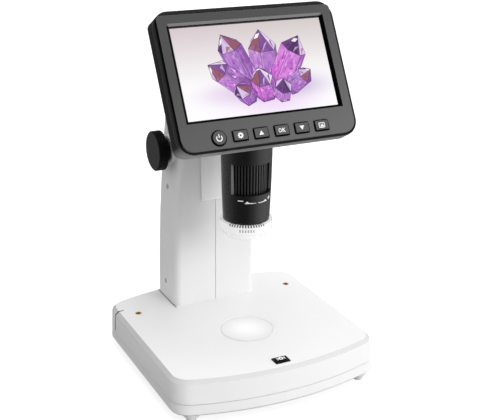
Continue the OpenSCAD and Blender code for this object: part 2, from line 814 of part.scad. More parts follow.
// Plan of the pinion, with involute flanks and play on both sides of each tooth
module pinion_plan() {
    base_r = pinion_pitch_r * cos(20);
    tip_r = pinion_pitch_r + addendum;
    root_r = pinion_pitch_r - dedendum;
    tip_roll = sqrt(pow(tip_r / base_r, 2) - 1) * 180 / PI;
    pitch_point = tan(20) * 180 / PI - 20;
    half = 90 / pinion_teeth + pitch_point - backlash / 4 / pinion_pitch_r * 180 / PI;
    steps = [0 : 1 : 4];
    flank = [for (i = steps) turned(involute(base_r, tip_roll * i / 4), -half)];
    circle(r = root_r, $fn = 56);
    for (t = [0 : pinion_teeth - 1]) rotate(t * 360 / pinion_teeth)
        polygon(concat([turned([root_r - 0.2, 0], -half)], flank,
                       [for (i = steps) [flank[4 - i][0], -flank[4 - i][1]]],
                       [turned([root_r - 0.2, 0], half)]));
}

module pinion_gear() {
    color("#c79a52") translate([0, shaft_y, shaft_z]) rotate([0, 90, 0]) difference() {
        translate([0, 0, -pinion_w / 2]) linear_extrude(pinion_w)
            rotate(-90) pinion_plan();
        translate([0, 0, -pinion_w]) cylinder(h = 2 * pinion_w, r = shaft_r, $fn = 48);
    }
}

// Knob with a knurled rim; it stands on x = 0 with its face towards +X
module knob() {
    rotate([0, 90, 0]) difference() {
        union() {
            linear_extrude(knob_hub_l + eps) circle(r = knob_hub_r, $fn = 64);
            translate([0, 0, knob_hub_l]) linear_extrude(knob_w - 0.6) difference() {
                circle(r = knob_r, $fn = 96);
                for (i = [0 : knurl_count - 1]) rotate(i * 360 / knurl_count)
                    translate([knob_r + 0.1, 0]) rotate(45) square(0.55, center = true);
            }
            translate([0, 0, knob_hub_l + knob_w - 0.6 - eps])
                cylinder(h = 0.6, r1 = knob_r - 0.25, r2 = knob_r - 0.8, $fn = 96);
        }
        translate([0, 0, -1]) cylinder(h = knob_shaft_l - knob_x + 1, r = shaft_r, $fn = 48);
    }
}

module knob_left() {
    color("#161617") translate([0, shaft_y, shaft_z]) mirror([1, 0, 0]) translate([knob_x, 0, 0]) knob();
}

module knob_right() {
    color("#161617") translate([knob_x, shaft_y, shaft_z]) knob();
}

module carriage_block() {
    color("#3b3d40") difference() {
        union() {
            translate([-block_w / 2, block_front_y, block_low_z])
                cube([block_w, block_back_y - block_front_y, block_h]);
            translate([-neck_w / 2, slide_y, neck_low_z])
                cube([neck_w, block_front_y - slide_y + eps, neck_h]);
        }
        for (sx = [-1, 1]) translate([sx * rod_span / 2, rod_y, block_low_z - 1])
            cylinder(h = block_h + 2, r = rod_r + running_gap, $fn = 32);
        translate([-rack_w / 2 - fit_gap, rack_root_y - rack_back_t, block_low_z - 1])
            cube([rack_w + 2 * fit_gap, 10, block_h + 2]);
        arm_screw_places() {
            y_rod(slide_y - 1, block_back_y + 1, screw_shank_r + 0.1, 24);
            y_rod(block_back_y - 2, block_back_y + 1, screw_head_r + 0.2, 24);
        }
    }
}

module arm_screw_places() {
    for (sx = [-1, 1], h = [arm_screw_low, arm_screw_low + arm_screw_pitch])
        translate([sx * (rack_w / 2 + fit_gap + screw_head_r + 1), 0, head_z + h]) children();
}

// Rack with straight flanks at 20 degrees; a gap faces the pinion's axis at rest
module focus_rack() {
    tip_y = rack_pitch_y + addendum;
    tip_half = tooth_pitch / 4 - backlash / 4 - addendum * tan(20);
    root_half = tooth_pitch / 4 - backlash / 4 + dedendum * tan(20);
    low_z = shaft_z - travel_up - rack_end;
    high_z = shaft_z + travel_down + rack_end;
    n_low = floor((travel_up + rack_end - root_half) / tooth_pitch + 0.5);
    n_high = floor((travel_down + rack_end - root_half) / tooth_pitch + 0.5);
    color("#b9bdc1") translate([-rack_w / 2, 0, 0]) rotate([90, 0, 90]) linear_extrude(rack_w) {
        translate([rack_root_y - rack_back_t, low_z]) square([rack_back_t, high_z - low_z]);
        for (i = [-n_low : n_high - 1]) translate([0, shaft_z + (i + 0.5) * tooth_pitch])
            polygon([[rack_root_y - eps, -root_half], [tip_y, -tip_half],
                     [tip_y, tip_half], [rack_root_y - eps, root_half]]);
    }
}

module slide_plate() {
    color("#f4f4f3") difference() {
        translate([-plate_w / 2, 0, 0]) rotate([90, 0, 90]) linear_extrude(plate_w)
            polygon([[slide_y, plate_low_z], [slide_y, plate_top_z], [arm_back_y, plate_top_z],
                     [arm_back_y, plate_low_z + plate_bevel_h], [slide_y - plate_lip, plate_low_z]]);
        arm_screw_places() y_rod(slide_y - 5, slide_y + 1, screw_shank_r + 0.1, 24);
    }
}

// ---------- head ----------

module head_arm() {
    arc_r = arm_back_y - arm_front_y;
    low_z = head_z + 1 - arc_r;
    top_z = head_z + arm_h;
    color("#f2f2f0") difference() {
        intersection() {
            translate([-arm_w / 2, 0, 0]) rotate([90, 0, 90]) linear_extrude(arm_w) difference() {
                translate([arm_front_y, low_z + 2]) square([arc_r, top_z - low_z - 2]);
                translate([arm_front_y, low_z]) circle(r = arc_r, $fn = 96);
            }
            translate([0, arm_back_y + 1, (low_z + top_z) / 2]) rotate([90, 0, 0])
                linear_extrude(arc_r + 2) round_rect(arm_w, top_z - low_z, 4);
        }
        translate([-cable_duct_w / 2, arm_front_y - 1, top_z - arm_wall - cable_duct_h])
            cube([cable_duct_w, arc_r - 6, cable_duct_h]);
        arm_screw_places() y_rod(arm_back_y - arm_thread_l - 3, arm_back_y + 1, screw_shank_r, 24);
    }
}

module head_screws() {
    color("#77797b") arm_screw_places() translate([0, block_back_y - 0.3, 0]) rotate([-90, 0, 0])
        screw(block_back_y - arm_back_y + arm_thread_l, screw_head_r, screw_shank_r, 1.6);
}

// Plan of the head housing, round in front of the optical axis
module head_plan(inset = 0) {
    translate([0, axis_y]) circle(r = head_r - inset, $fn = 96);
    translate([-head_r + inset, axis_y])
        square([2 * (head_r - inset), arm_front_y - axis_y - inset]);
}

// Room kept free for the display at rest, "gap" deeper than its back
module display_room(gap) {
    on_display() translate([-display_w, rear_back_y + gap - 60, -2 * display_h])
        cube([2 * display_w, 60, 4 * display_h]);
}

module head_housing() {
    color("#1d1d1f") difference() {
        translate([0, 0, head_z]) linear_extrude(head_h - cover_t) head_plan();
        display_room(head_gap);
        difference() {
            translate([0, 0, head_z + head_wall]) linear_extrude(head_h) head_plan(head_wall);
            display_room(head_gap + head_wall);
        }
        translate([0, axis_y, head_z - 1]) cylinder(h = head_wall + 2, r = light_path_r, $fn = 48);
        translate([-cable_duct_w / 2, arm_front_y - head_wall - 1, head_z + arm_h - arm_wall - cable_duct_h])
            cube([cable_duct_w, head_wall + 2, cable_duct_h]);
    }
}

module head_cover() {
    low_z = head_top_z - cover_t;
    color("#1d1d1f") difference() {
        hull() {
            translate([0, 0, low_z]) linear_extrude(cover_t - 1.6) head_plan();
            translate([0, 0, head_top_z - eps]) linear_extrude(eps) head_plan(1.6);
        }
        display_room(head_gap);
        difference() {
            translate([0, 0, low_z - 1]) linear_extrude(cover_t - head_wall + 1) head_plan(head_wall);
            display_room(head_gap + head_wall);
        }
    }
}

// Side profile of a hinge ear, about the hinge axis: x is back, y is up
module ear_plan(foot) {
    circle(r = ear_r, $fn = 48);
    translate([-ear_r, -foot]) square([2 * ear_r, foot]);
}

module hinge_bracket() {
    ear_x = knuckle_w / 2 + ear_gap;
    foot = hinge_z - head_top_z;
    color("#9aa0a4") difference() {
        union() {
            for (x = [-ear_x - ear_t, ear_x]) translate([x, hinge_y, hinge_z])
                rotate([90, 0, 90]) linear_extrude(ear_t) ear_plan(foot);
            translate([-ear_x - ear_t, hinge_y - ear_r, head_top_z])
                cube([2 * (ear_x + ear_t), 2 * ear_r + 8, bracket_t]);
        }
        translate([0, hinge_y, hinge_z]) x_rod(-knuckle_w, knuckle_w, pin_r);
    }
    color("#77797b") for (sx = [-1, 1])
        translate([sx * knuckle_w / 3, hinge_y + ear_r + 4, head_top_z + bracket_t + 1.2 - eps])
            screw(bracket_t - eps, 2.2, 1.1, 1.2);
}

module hinge_pin() {
    reach = knuckle_w / 2 + ear_gap + ear_t;
    color("#b9bdc1") translate([0, hinge_y, hinge_z]) {
        x_rod(-reach - 0.6, reach + 0.6, pin_r);
        x_rod(-reach - 1.4, -reach, pin_r + 1.2);
        x_rod(reach, reach + 1.4, pin_r + 1.2);
    }
}

// Plan of the cut for the barrel's window; its flat sides face forwards
module window_plan() {
    inner = front_point(barrel_r - barrel_wall, window_half_angle - window_flank);
    outer = front_point(barrel_r, window_half_angle);
    under = 2 * inner - outer;
    over = 2 * outer - inner;
    polygon([under, over, [over[0], -2 * barrel_r], [-over[0], -2 * barrel_r],
             [-over[0], over[1]], [-under[0], under[1]]]);
}

module barrel_shell() {
    steps = [0 : 1 : 10];
    color("#1a1a1b") translate([0, axis_y, barrel_z]) difference() {
        rotate_extrude($fn = 128) polygon(concat(
            [for (i = steps) [barrel_radius(barrel_h * i / 10), barrel_h * i / 10]],
            [for (i = steps)
                [barrel_radius(barrel_h * (1 - i / 10)) - barrel_wall, barrel_h * (1 - i / 10)]]));
        translate([0, 0, window_drop]) linear_extrude(window_h) window_plan();
    }
}

module lens_sleeve() {
    color("#2c2c2e") translate([0, axis_y, 0]) {
        translate([0, 0, sleeve_z]) tube(head_z - sleeve_z, sleeve_r, sleeve_bore_r);
        translate([0, 0, shoulder_z])
            tube(head_z - sleeve_flange_t - shoulder_z + eps, sleeve_r + shoulder_w, sleeve_r - eps);
        translate([0, 0, head_z - sleeve_flange_t])
            tube(sleeve_flange_t, barrel_radius(barrel_h - sleeve_flange_t) - barrel_wall - 0.05,
                 sleeve_r - eps);
    }
}

module wheel_retainer() {
    color("#c79a52") translate([0, axis_y, wheel_z - slide_gap - retainer_t])
        tube(retainer_t, sleeve_r + shoulder_w, sleeve_r);
}

module magnification_wheel() {
    color("#232325") translate([0, axis_y, wheel_z]) linear_extrude(wheel_h) difference() {
        union() {
            circle(r = wheel_core_r, $fn = 96);
            for (i = [0 : wheel_ribs - 1]) rotate(i * 360 / wheel_ribs)
                translate([wheel_core_r - 0.3, -rib_w / 2]) square([rib_h + 0.3, rib_w]);
        }
        circle(r = sleeve_r + running_gap, $fn = 96);
    }
}

module lens_carrier() {
    color("#2c2c2e") translate([0, axis_y, carrier_z]) difference() {
        tube(carrier_l, sleeve_bore_r - running_gap, lens_r - 0.6);
        translate([0, 0, -1]) cylinder(h = lens_seat_h + 1, r = lens_r + running_gap, $fn = 96);
    }
}

module objective_lens() {
    bulge = 0.8;
    cap_r = (lens_r * lens_r + bulge * bulge) / (2 * bulge);
    color("#cfe3ee") translate([0, axis_y, carrier_z + 0.4]) rotate_extrude($fn = 96) intersection() {
        square([lens_r, lens_seat_h - 0.4]);
        translate([0, cap_r]) circle(r = cap_r, $fn = 128);
        translate([0, lens_seat_h - 0.4 - cap_r]) circle(r = cap_r, $fn = 128);
    }
}

module sensor_board() {
    color("#2f6b45") translate([-sensor_board_w / 2, axis_y - sensor_board_d / 2 + 1, head_z + head_wall])
        cube([sensor_board_w, sensor_board_d, board_t]);
    color("#2a2a2c")
        translate([-sensor_w / 2, axis_y - sensor_w / 2, head_z + head_wall + board_t - eps])
            cube([sensor_w, sensor_w, 2]);
}

// Plan of one tier of the clear nose, fluted on its inside
module fluted_ring(r, bore_r) {
    difference() {
        circle(r = r, $fn = 96);
        circle(r = bore_r, $fn = 96);
        for (i = [0 : nose_flutes - 1]) rotate(i * 360 / nose_flutes)
            translate([bore_r - 0.3, -0.35]) square([0.9, 0.7]);
    }
}

module nose_ring() {
    lip_t = 1.2;
    color([0.93, 0.94, 0.95, 0.6]) translate([0, axis_y, 0]) {
        translate([0, 0, nose_z]) tube(lip_t, nose_cap_r, nose_bore_r - 2);
        translate([0, 0, nose_z + lip_t - eps]) linear_extrude(nose_cap_h - lip_t + 2 * eps)
            fluted_ring(nose_cap_r, nose_bore_r);
        translate([0, 0, flange_z]) linear_extrude(nose_flange_h) fluted_ring(nose_flange_r, nose_bore_r);
        translate([0, 0, barrel_z - eps])
            tube(nose_spigot_h, barrel_radius(0) - barrel_wall - 0.1, nose_bore_r);
    }
}

module nose_light_board() {
    low_z = barrel_z + nose_spigot_h;
    color("#e9e9e6") translate([0, axis_y, low_z])
        tube(board_t, barrel_radius(0) - barrel_wall - 0.1, light_path_r);
    color("#fff6d8") for (i = [0 : 7]) translate([0, axis_y, 0]) rotate(i * 45 + 22.5)
        translate([nose_bore_r - 1.7, 0, low_z - 1.2]) cylinder(h = 1.2 + eps, r = 1.1, $fn = 24);
}

// ---------- display ----------

// Moves children from the display's own frame to the display's place
module on_display() {
    translate([0, hinge_y, hinge_z]) rotate([-display_tilt, 0, 0])
        translate([0, -hinge_depth, hinge_drop]) children();
}

// Extrudes an outline drawn in the screen's plane from depth y0 to y1
module panel(y0, y1) {
    translate([0, y1, 0]) rotate([90, 0, 0]) linear_extrude(y1 - y0) children();
}

// Outline of the display, drawn in by "inset"
module display_plan(inset = 0) {
    translate([0, display_mid])
        round_rect(display_w - 2 * inset, display_h - 2 * inset, display_corner_r - inset);
}

// Outline of the raised front plate, drawn out by "grow"; its upper corners are tighter
module plate_plan(grow = 0) {
    w = display_w - 2 * plate_margin + 2 * grow;
    h = display_h - plate_margin_top - plate_margin_low + 2 * grow;
    translate([0, display_mid + (plate_margin_low - plate_margin_top) / 2]) {
        round_rect(w, h, display_corner_r - plate_margin + grow);
        translate([0, h / 4]) round_rect(w, h / 2, plate_corner_r + grow);
    }
}

module screen_plan() {
    translate([0, screen_shift]) square([screen_w, screen_h], center = true);
}

// Outlines of the six buttons, drawn out by "grow"
module button_plan(i, grow = 0) {
    translate([(i - 2.5) * button_pitch, -button_drop])
        if (i == 0) circle(r = power_r + grow, $fn = 64);
        else round_rect(button_w + 2 * grow, button_h + 2 * grow, 1.2 + grow);
}

module case_screw_places(y) {
    for (sx = [-1, 1]) translate([sx * case_screw_x, y, -case_screw_down]) children();
}

module display_front_frame() {
    color("#3a3a3c") on_display() difference() {
        union() {
            panel(rim_y, frame_back_y) display_plan();
            panel(-screen_recess, rim_y + eps) plate_plan();
        }
        panel(rim_y - 0.5, rim_y + groove_depth) difference() {
            intersection() {
                plate_plan(groove_w);
                display_plan(groove_edge);
            }
            plate_plan();
        }
        translate([-screen_w / 2, 0, screen_shift + screen_h / 2]) rotate([90, 0, 90])
            linear_extrude(screen_w) polygon([[-screen_recess - 1, -1],
                [-screen_recess - 1, visor_h * (1 + 1 / visor_d)], [visor_d - screen_recess, 0],
                [visor_d - screen_recess, -1]]);
        panel(-screen_recess - 1, frame_back_y + 1) screen_plan();
        for (i = [0 : 5]) panel(-screen_recess - 1, frame_back_y + 1) button_plan(i, button_gap);
        difference() {
            panel(0, frame_back_y + 1) translate([0, display_mid])
                round_rect(display_w - 2 * pocket_margin, display_h - 2 * pocket_margin, pocket_corner_r);
            case_screw_places(0) y_rod(-1, frame_back_y + 1, case_boss_r);
            for (x = [-2, 0, 2]) translate([x * button_pitch, 0, -button_drop])
                y_rod(-1, frame_back_y + 1, 1, 24);
        }
        case_screw_places(0) y_rod(0.4, frame_back_y + 1, case_screw_r, 24);
    }
}

// Section across the rear cover: its open side at depth y0, its rounded back at depth y1
module rear_section(w, y0, y1, r) {
    translate([-w / 2, y0]) square([w, y1 - r - y0]);
    translate([r - w / 2, y0]) square([w - 2 * r, y1 - y0]);
    for (sx = [-1, 1]) translate([sx * (w / 2 - r), y1 - r]) circle(r = r, $fn = 40);
}

// The rear cover's form, drawn in by "inset": the display's outline between two rounded sections
module rear_form(y0, inset) {
    y1 = rear_back_y - inset;
    r = rear_edge_r - inset;
    intersection() {
        panel(y0, y1 + 1) display_plan(inset);
        translate([0, 0, -2 * display_h]) linear_extrude(4 * display_h)
            rear_section(display_w - 2 * inset, y0 - 1, y1, r);
        translate([display_w, 0, display_mid]) rotate([0, -90, 0]) linear_extrude(2 * display_w)
            rear_section(display_h - 2 * inset, y0 - 1, y1, r);
    }
}

module display_rear_cover() {
    color("#2b2b2d") on_display() difference() {
        union() {
            difference() {
                rear_form(rear_front_y, 0);
                rear_form(rear_front_y - 1, display_wall);
            }
            case_screw_places(0) y_rod(rear_front_y, rear_back_y - 1, case_boss_r);
            for (sx = [-1, 1], sz = [-1, 1]) translate([sx * post_x, 0, sz * post_z])
                y_rod(main_board_y + board_t, rear_back_y - display_wall + eps, 2.4);
        }
        case_screw_places(0) {
            y_rod(rear_front_y - 1, rear_back_y + 1, case_screw_r + 0.2, 24);
            y_rod(rear_back_y - 2, rear_back_y + 1, 2.1);
        }
        translate([display_w / 2 - display_wall - 6, main_board_y - 2, card_z - 6.5]) cube([20, 2, 13]);
        translate([display_w / 2 - display_wall - 6, main_board_y - 3.9, usb_z - 4.1]) cube([20, 3.9, 8.2]);
    }
}

module lcd_panel() {
    color("#b9b6c4") on_display() panel(0, lcd_t) translate([0, screen_shift])
        round_rect(lcd_w, lcd_h, 0.8);
}

// Metal socket in front of the main board, open to the right; w is its size along the screen
module socket(l, w, t) {
    difference() {
        translate([-l, -t, -w / 2]) cube([l, t + eps, w]);
        translate([1.5 - l, 0.4 - t, 0.5 - w / 2]) cube([l, t - 0.8, w - 1]);
    }
}

module display_main_board() {
    edge_x = display_w / 2 - display_wall - 0.4;
    color("#2f6b45") on_display() panel(main_board_y, main_board_y + board_t)
        square([2 * (edge_x - 1), main_board_h], center = true);
    color("#b9bdc1") on_display() {
        translate([edge_x, main_board_y, card_z]) socket(14, 12.4, 1.8);
        translate([edge_x, main_board_y, usb_z]) socket(9, 7.8, 3.7);
    }
    color("#2a2a2c") on_display() translate([-20, main_board_y + board_t - eps, -10])
        cube([chip_w, chip_t, chip_w]);
}

module button_board() {
    color("#2f6b45") on_display() translate([0, button_board_y, -button_drop])
        panel(0, board_t) square([6 * button_pitch - 2, 7], center = true);
    color("#2a2a2c") on_display() for (i = [0 : 5])
        translate([(i - 2.5) * button_pitch, 0, -button_drop])
            y_rod(button_flange_t + button_travel + 0.25, button_board_y + eps, 1.6, 24);
}

module display_screws() {
    color("#77797b") on_display() case_screw_places(rear_back_y - 0.5) rotate([-90, 0, 0])
        screw(rear_back_y - 3, 1.9, case_screw_r, 1.4);
}

module display_knuckle() {
    color("#8b9094") on_display() difference() {
        union() {
            translate([0, hinge_depth, -hinge_drop]) x_rod(-knuckle_w / 2, knuckle_w / 2, knuckle_r);
            translate([-knuckle_w / 2, rear_back_y, -hinge_drop - 3.5])
                cube([knuckle_w, hinge_depth - rear_back_y, 7]);
            translate([-knuckle_w / 2, rear_back_y, -hinge_drop - 9]) cube([knuckle_w, 1.4, 18]);
        }
        translate([0, hinge_depth, -hinge_drop]) x_rod(-knuckle_w, knuckle_w, pin_r + running_gap);
    }
}

// Button i of the row: a cap, and a flange that holds it behind the front plate
module case_button(i) {
    flange_h = button_h + 2 * button_flange;
    color("#2e2e30") on_display() {
        panel(-screen_recess - button_rise, 0.2) button_plan(i);
        panel(0.1, 0.1 + button_flange_t) intersection() {
            button_plan(i, button_flange);
            translate([-display_w, -button_drop - flange_h / 2]) square([2 * display_w, flange_h]);
        }
    }
}

module power_button() { case_button(0); }

module menu_button() { case_button(1); }

module up_button() { case_button(2); }

module ok_button() { case_button(3); }

module down_button() { case_button(4); }

module capture_button() { case_button(5); }

base_top_shell();
base_bottom_cover();
base_feet();
base_screws();
ballast_plate();
stage_disc();
stage_light_board();
stage_inserts();
light_button_frame();
light_button();
power_board();
dc_socket();
column_left_shell();
column_right_shell();
column_screws();
column_foot_plate();
column_foot_screws();
column_top_block();
guide_rods();
shaft_bushes();
focus_shaft();
pinion_gear();
knob_left();
knob_right();
carriage_block();
focus_rack();
slide_plate();
head_arm();
head_screws();
head_housing();
head_cover();
hinge_bracket();
hinge_pin();
barrel_shell();
lens_sleeve();
wheel_retainer();
magnification_wheel();
lens_carrier();
objective_lens();
sensor_board();
nose_ring();
nose_light_board();
display_rear_cover();
display_front_frame();
lcd_panel();
display_main_board();
button_board();
display_screws();
display_knuckle();
power_button();
menu_button();
up_button();
ok_button();
down_button();
capture_button();
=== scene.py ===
"""Looks of the LCD digital microscope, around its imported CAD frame. Metres, +Z up."""

import json
import math
import random

import bpy
from mathutils import Matrix, Vector


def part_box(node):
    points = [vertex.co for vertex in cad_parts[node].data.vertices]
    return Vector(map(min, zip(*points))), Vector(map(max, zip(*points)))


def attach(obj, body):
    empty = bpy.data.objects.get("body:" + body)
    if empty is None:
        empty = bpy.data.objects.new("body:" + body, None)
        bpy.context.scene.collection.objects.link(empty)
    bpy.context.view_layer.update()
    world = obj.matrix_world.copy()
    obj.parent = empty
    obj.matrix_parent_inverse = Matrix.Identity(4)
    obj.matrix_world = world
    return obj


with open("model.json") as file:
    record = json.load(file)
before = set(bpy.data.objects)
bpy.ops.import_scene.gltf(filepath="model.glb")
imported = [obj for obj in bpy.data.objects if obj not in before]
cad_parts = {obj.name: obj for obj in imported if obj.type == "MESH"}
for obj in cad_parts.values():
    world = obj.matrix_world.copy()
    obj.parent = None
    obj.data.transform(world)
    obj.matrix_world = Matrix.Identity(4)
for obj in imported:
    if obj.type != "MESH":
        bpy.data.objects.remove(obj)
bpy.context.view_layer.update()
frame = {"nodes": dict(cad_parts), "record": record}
nodes = frame["nodes"]
scene = bpy.context.scene
MM = 0.001


# ---------- places ----------

def middle(name):
    """The middle of a node's box."""
    low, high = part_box(name)
    return (low + high) / 2


X, Y, Z = (1, 0, 0), (0, 1, 0), (0, 0, 1)
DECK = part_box("stage_disc")[1].z
BARREL_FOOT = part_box("barrel_shell")[0].z
AXIS_Y = middle("barrel_shell").y

# The display's own frame: x across, y back from its face, z up from the screen's middle.
HINGE = middle("hinge_pin")
TILT = math.radians(29.1)
BACKWARDS = Vector((0, math.cos(TILT), -math.sin(TILT)))
UPWARDS = Vector((0, math.sin(TILT), math.cos(TILT)))

# Sizes and places in that frame, in mm: how far the hinge lies behind the face and below the
# screen's middle, the screen's opening, its picture, and the keys from left to right.
HINGE_DEPTH, HINGE_DROP = 20, 5
OPENING_W = 97.6
PICTURE_W, PICTURE_LOW, PICTURE_HIGH = 95.04, -27.25, 26.15
KEYS = ["power", "menu", "up", "ok", "down", "capture"]
KEY_PITCH, KEY_Z, KEY_FACE = 13.0, -38.7, -2.6

# How far prints and pictures lie on top of their surface, in mm.
PRINT_LIFT = 0.03


# ---------- camera ----------

def add_camera():
    """The photo's camera: turns in degrees, place in mm from the deck's middle."""
    azimuth, elevation, roll = (math.radians(a) for a in (-26.068, 20.352, 0.459))
    place = Vector((-256.30, -525.07, 292.53)) * MM + Vector((0, 0, DECK))
    back = Vector((math.sin(azimuth) * math.cos(elevation),
                   -math.cos(azimuth) * math.cos(elevation), math.sin(elevation)))
    right = Vector((math.cos(azimuth), math.sin(azimuth), 0))
    up = back.cross(right)
    right, up = (math.cos(roll) * right + math.sin(roll) * up,
                 math.cos(roll) * up - math.sin(roll) * right)
    data = bpy.data.cameras.new("camera")
    data.sensor_width, data.lens = 36, 75.621
    data.clip_start, data.clip_end = 0.02, 20
    camera = bpy.data.objects.new("camera", data)
    turn = Matrix((right, up, back)).transposed().to_4x4()
    camera.matrix_world = Matrix.Translation(place) @ turn
    scene.collection.objects.link(camera)
    scene.camera = camera


add_camera()
scene.view_settings.view_transform = "Standard"


# ---------- colours and nodes ----------

def linear(c):
    """A 0-255 screen colour, or a grey as one number, as linear RGBA."""
    if not isinstance(c, (tuple, list)):
        c = (c, c, c)
    out = []
    for v in c:
        v = v / 255
        out.append(v / 12.92 if v <= 0.04045 else ((v + 0.055) / 1.055) ** 2.4)
    return (*out, 1.0)


def shade(colour, factor):
    """A linear colour, darker or lighter by a factor."""
    return (*(min(1, c * factor) for c in colour[:3]), 1.0)


class Nodes:
    """A node tree and short ways to add to it. A value is a socket, a number or a colour."""

    def __init__(self, tree):
        self.tree = tree

    def node(self, kind, **settings):
        made = self.tree.nodes.new(kind)
        for key, value in settings.items():
            setattr(made, key, value)
        return made

    def put(self, socket, value):
        """Links an input to a socket, or sets it to a value."""
        if isinstance(value, bpy.types.NodeSocket):
            self.tree.links.new(value, socket)
        else:
            socket.default_value = value

    def math(self, operation, a, b=0.0, c=0.0):
        node = self.node("ShaderNodeMath", operation=operation)
        for socket, value in zip(node.inputs, (a, b, c)):
            self.put(socket, value)
        return node.outputs[0]

    def vector_math(self, operation, a, b):
        node = self.node("ShaderNodeVectorMath", operation=operation)
        self.put(node.inputs[0], a)
        self.put(node.inputs[1], b)
        return node.outputs

    def ramp(self, fac, stops):
        """The colour at "fac" between stops of (place, linear colour)."""
        node = self.node("ShaderNodeValToRGB")
        elements = node.color_ramp.elements
        while len(elements) < len(stops):
            elements.new(0.5)
        for element, (at, colour) in zip(elements, stops):
            element.position = at
            element.color = colour
        self.put(node.inputs["Fac"], fac)
        return node.outputs["Color"]

    def remap(self, fac, low, high, source=(0.3, 0.7)):
        """From low to high while "fac" goes through the source range."""
        node = self.node("ShaderNodeMapRange")
        self.put(node.inputs["Value"], fac)
        self.put(node.inputs["From Min"], source[0])
        self.put(node.inputs["From Max"], source[1])
        self.put(node.inputs["To Min"], low)
        self.put(node.inputs["To Max"], high)
        return node.outputs["Result"]

    def choose(self, fac, low, high):
        """Low where "fac" is 0, high where it is 1."""
        return self.remap(fac, low, high, (0, 1))

    def mix(self, fac, a, b):
        node = self.node("ShaderNodeMix", data_type="RGBA")
        for number, value in ((0, fac), (6, a), (7, b)):
            self.put(node.inputs[number], value)
        return node.outputs[2]


class Material(Nodes):
    """A Principled material; its coordinates are in metres."""

    def __init__(self, name):
        self.material = bpy.data.materials.new(name)
        self.material.use_nodes = True
        super().__init__(self.material.node_tree)
        self.shader = self.tree.nodes["Principled BSDF"]
        self.coords = self.node("ShaderNodeTexCoord").outputs["Object"]

    def set(self, name, value):
        """Sets or links one of the shader's inputs."""
        self.put(self.shader.inputs[name], value)

    def noise(self, size, detail=2.0):
        """Noise with features of about that size in metres."""
        texture = self.node("ShaderNodeTexNoise")
        self.put(texture.inputs["Scale"], 1 / size)
        self.put(texture.inputs["Detail"], detail)
        self.put(texture.inputs["Vector"], self.coords)
        return texture.outputs["Fac"]

    def along(self, direction, origin=(0, 0, 0)):
        """Distance from "origin" along "direction", in metres."""
        offset = self.vector_math("SUBTRACT", self.coords, origin)["Vector"]
        return self.vector_math("DOT_PRODUCT", offset, direction)["Value"]

    def facing(self, direction, low, high):
        """0 to 1 as the surface turns towards "direction", from cosine "low" to "high"."""
        normal = self.node("ShaderNodeNewGeometry").outputs["True Normal"]
        cosine = self.vector_math("DOT_PRODUCT", normal, direction)["Value"]
        return self.remap(cosine, 0, 1, (low, high))

    def rounded(self, radius):
        """The normal as it would be with the edges rounded."""
        bevel = self.node("ShaderNodeBevel", samples=6)
        self.put(bevel.inputs["Radius"], radius)
        return bevel.outputs["Normal"]

    def edges(self, radius):
        """1 on convex and concave edges within "radius", 0 on flats."""
        flat = self.node("ShaderNodeNewGeometry").outputs["Normal"]
        cosine = self.vector_math("DOT_PRODUCT", self.rounded(radius), flat)["Value"]
        return self.remap(cosine, 1, 0, (0.8, 0.99))

    def bump(self, height, strength, distance, edge=0.0):
        """Bump, over edges rounded to the radius "edge" if there is one."""
        bump = self.node("ShaderNodeBump")
        self.put(bump.inputs["Strength"], strength)
        self.put(bump.inputs["Distance"], distance)
        self.put(bump.inputs["Height"], height)
        if edge:
            self.put(bump.inputs["Normal"], self.rounded(edge))
        self.set("Normal", bump.outputs["Normal"])


# ---------- masks: 1 inside, 0 outside; distances in mm ----------

def inside(m, value, centre, reach):
    return m.math("COMPARE", value, centre * MM, reach * MM)


def over(m, value, least):
    return m.math("GREATER_THAN", value, least * MM)


def under(m, value, most):
    return m.math("LESS_THAN", value, most * MM)


def every(m, first, *others):
    """1 where all of them hold."""
    for other in others:
        first = m.math("MULTIPLY", first, other)
    return first


def apart(m, a, b):
    """1 where a holds and b doesn't."""
    return m.math("MULTIPLY", a, m.math("SUBTRACT", 1.0, b))


def distance(m, a, b):
    """Length of the diagonal over two distances."""
    squares = m.math("ADD", m.math("POWER", a, 2.0), m.math("POWER", b, 2.0))
    return m.math("SQRT", squares)


def above_deck(m):
    return m.along(Z, (0, 0, DECK))


def above_barrel_foot(m):
    return m.along(Z, (0, 0, BARREL_FOOT))


def shaded_slit(m):
    """The walls of the slit in the base's left side, painted dark as shade."""
    slit_y, half_width, inner_x, foot = 44.8, 0.51, -62, -13.2
    return every(m, inside(m, m.along(Y), slit_y, half_width), over(m, above_deck(m), foot),
                 under(m, m.along(X), inner_x))


def shaded_bevel(m):
    """The bevel round the deck, painted darker as shade."""
    slope = apart(m, m.facing(Z, 0.25, 0.35), m.facing(Z, 0.95, 0.97))
    return every(m, inside(m, above_deck(m), -2.0, 2.6), slope)


def at_column_foot(m):
    """A shadow line where the column's left side meets the deck."""
    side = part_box("column_left_shell")[0].x / MM
    return every(m, inside(m, above_deck(m), 0.1, 0.4), inside(m, m.along(X), side, 0.6),
                 inside(m, m.along(Y), 50, 16))


def barrel_plan(m):
    """Distances to the right and to the front from the barrel's axis."""
    return m.along(X), m.along((0, -1, 0), (0, AXIS_Y, 0))


def shaded_rib_valleys(m):
    """The valleys between the wheel's ribs, painted dark as shade."""
    radius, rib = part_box("magnification_wheel")[1].x / MM, 0.35
    return under(m, distance(m, *barrel_plan(m)), radius - rib)


def lit_window_side(m):
    """The sloped left side of the wheel's window in the barrel, painted lighter where it faces the
    light.
    """
    x, y = barrel_plan(m)
    radius = distance(m, x, y)
    return every(m, over(m, radius, 12.0), under(m, radius, 14.7), under(m, x, 0),
                 over(m, above_barrel_foot(m), 16), m.facing((0.7, -0.7, 0), 0.3, 0.5))


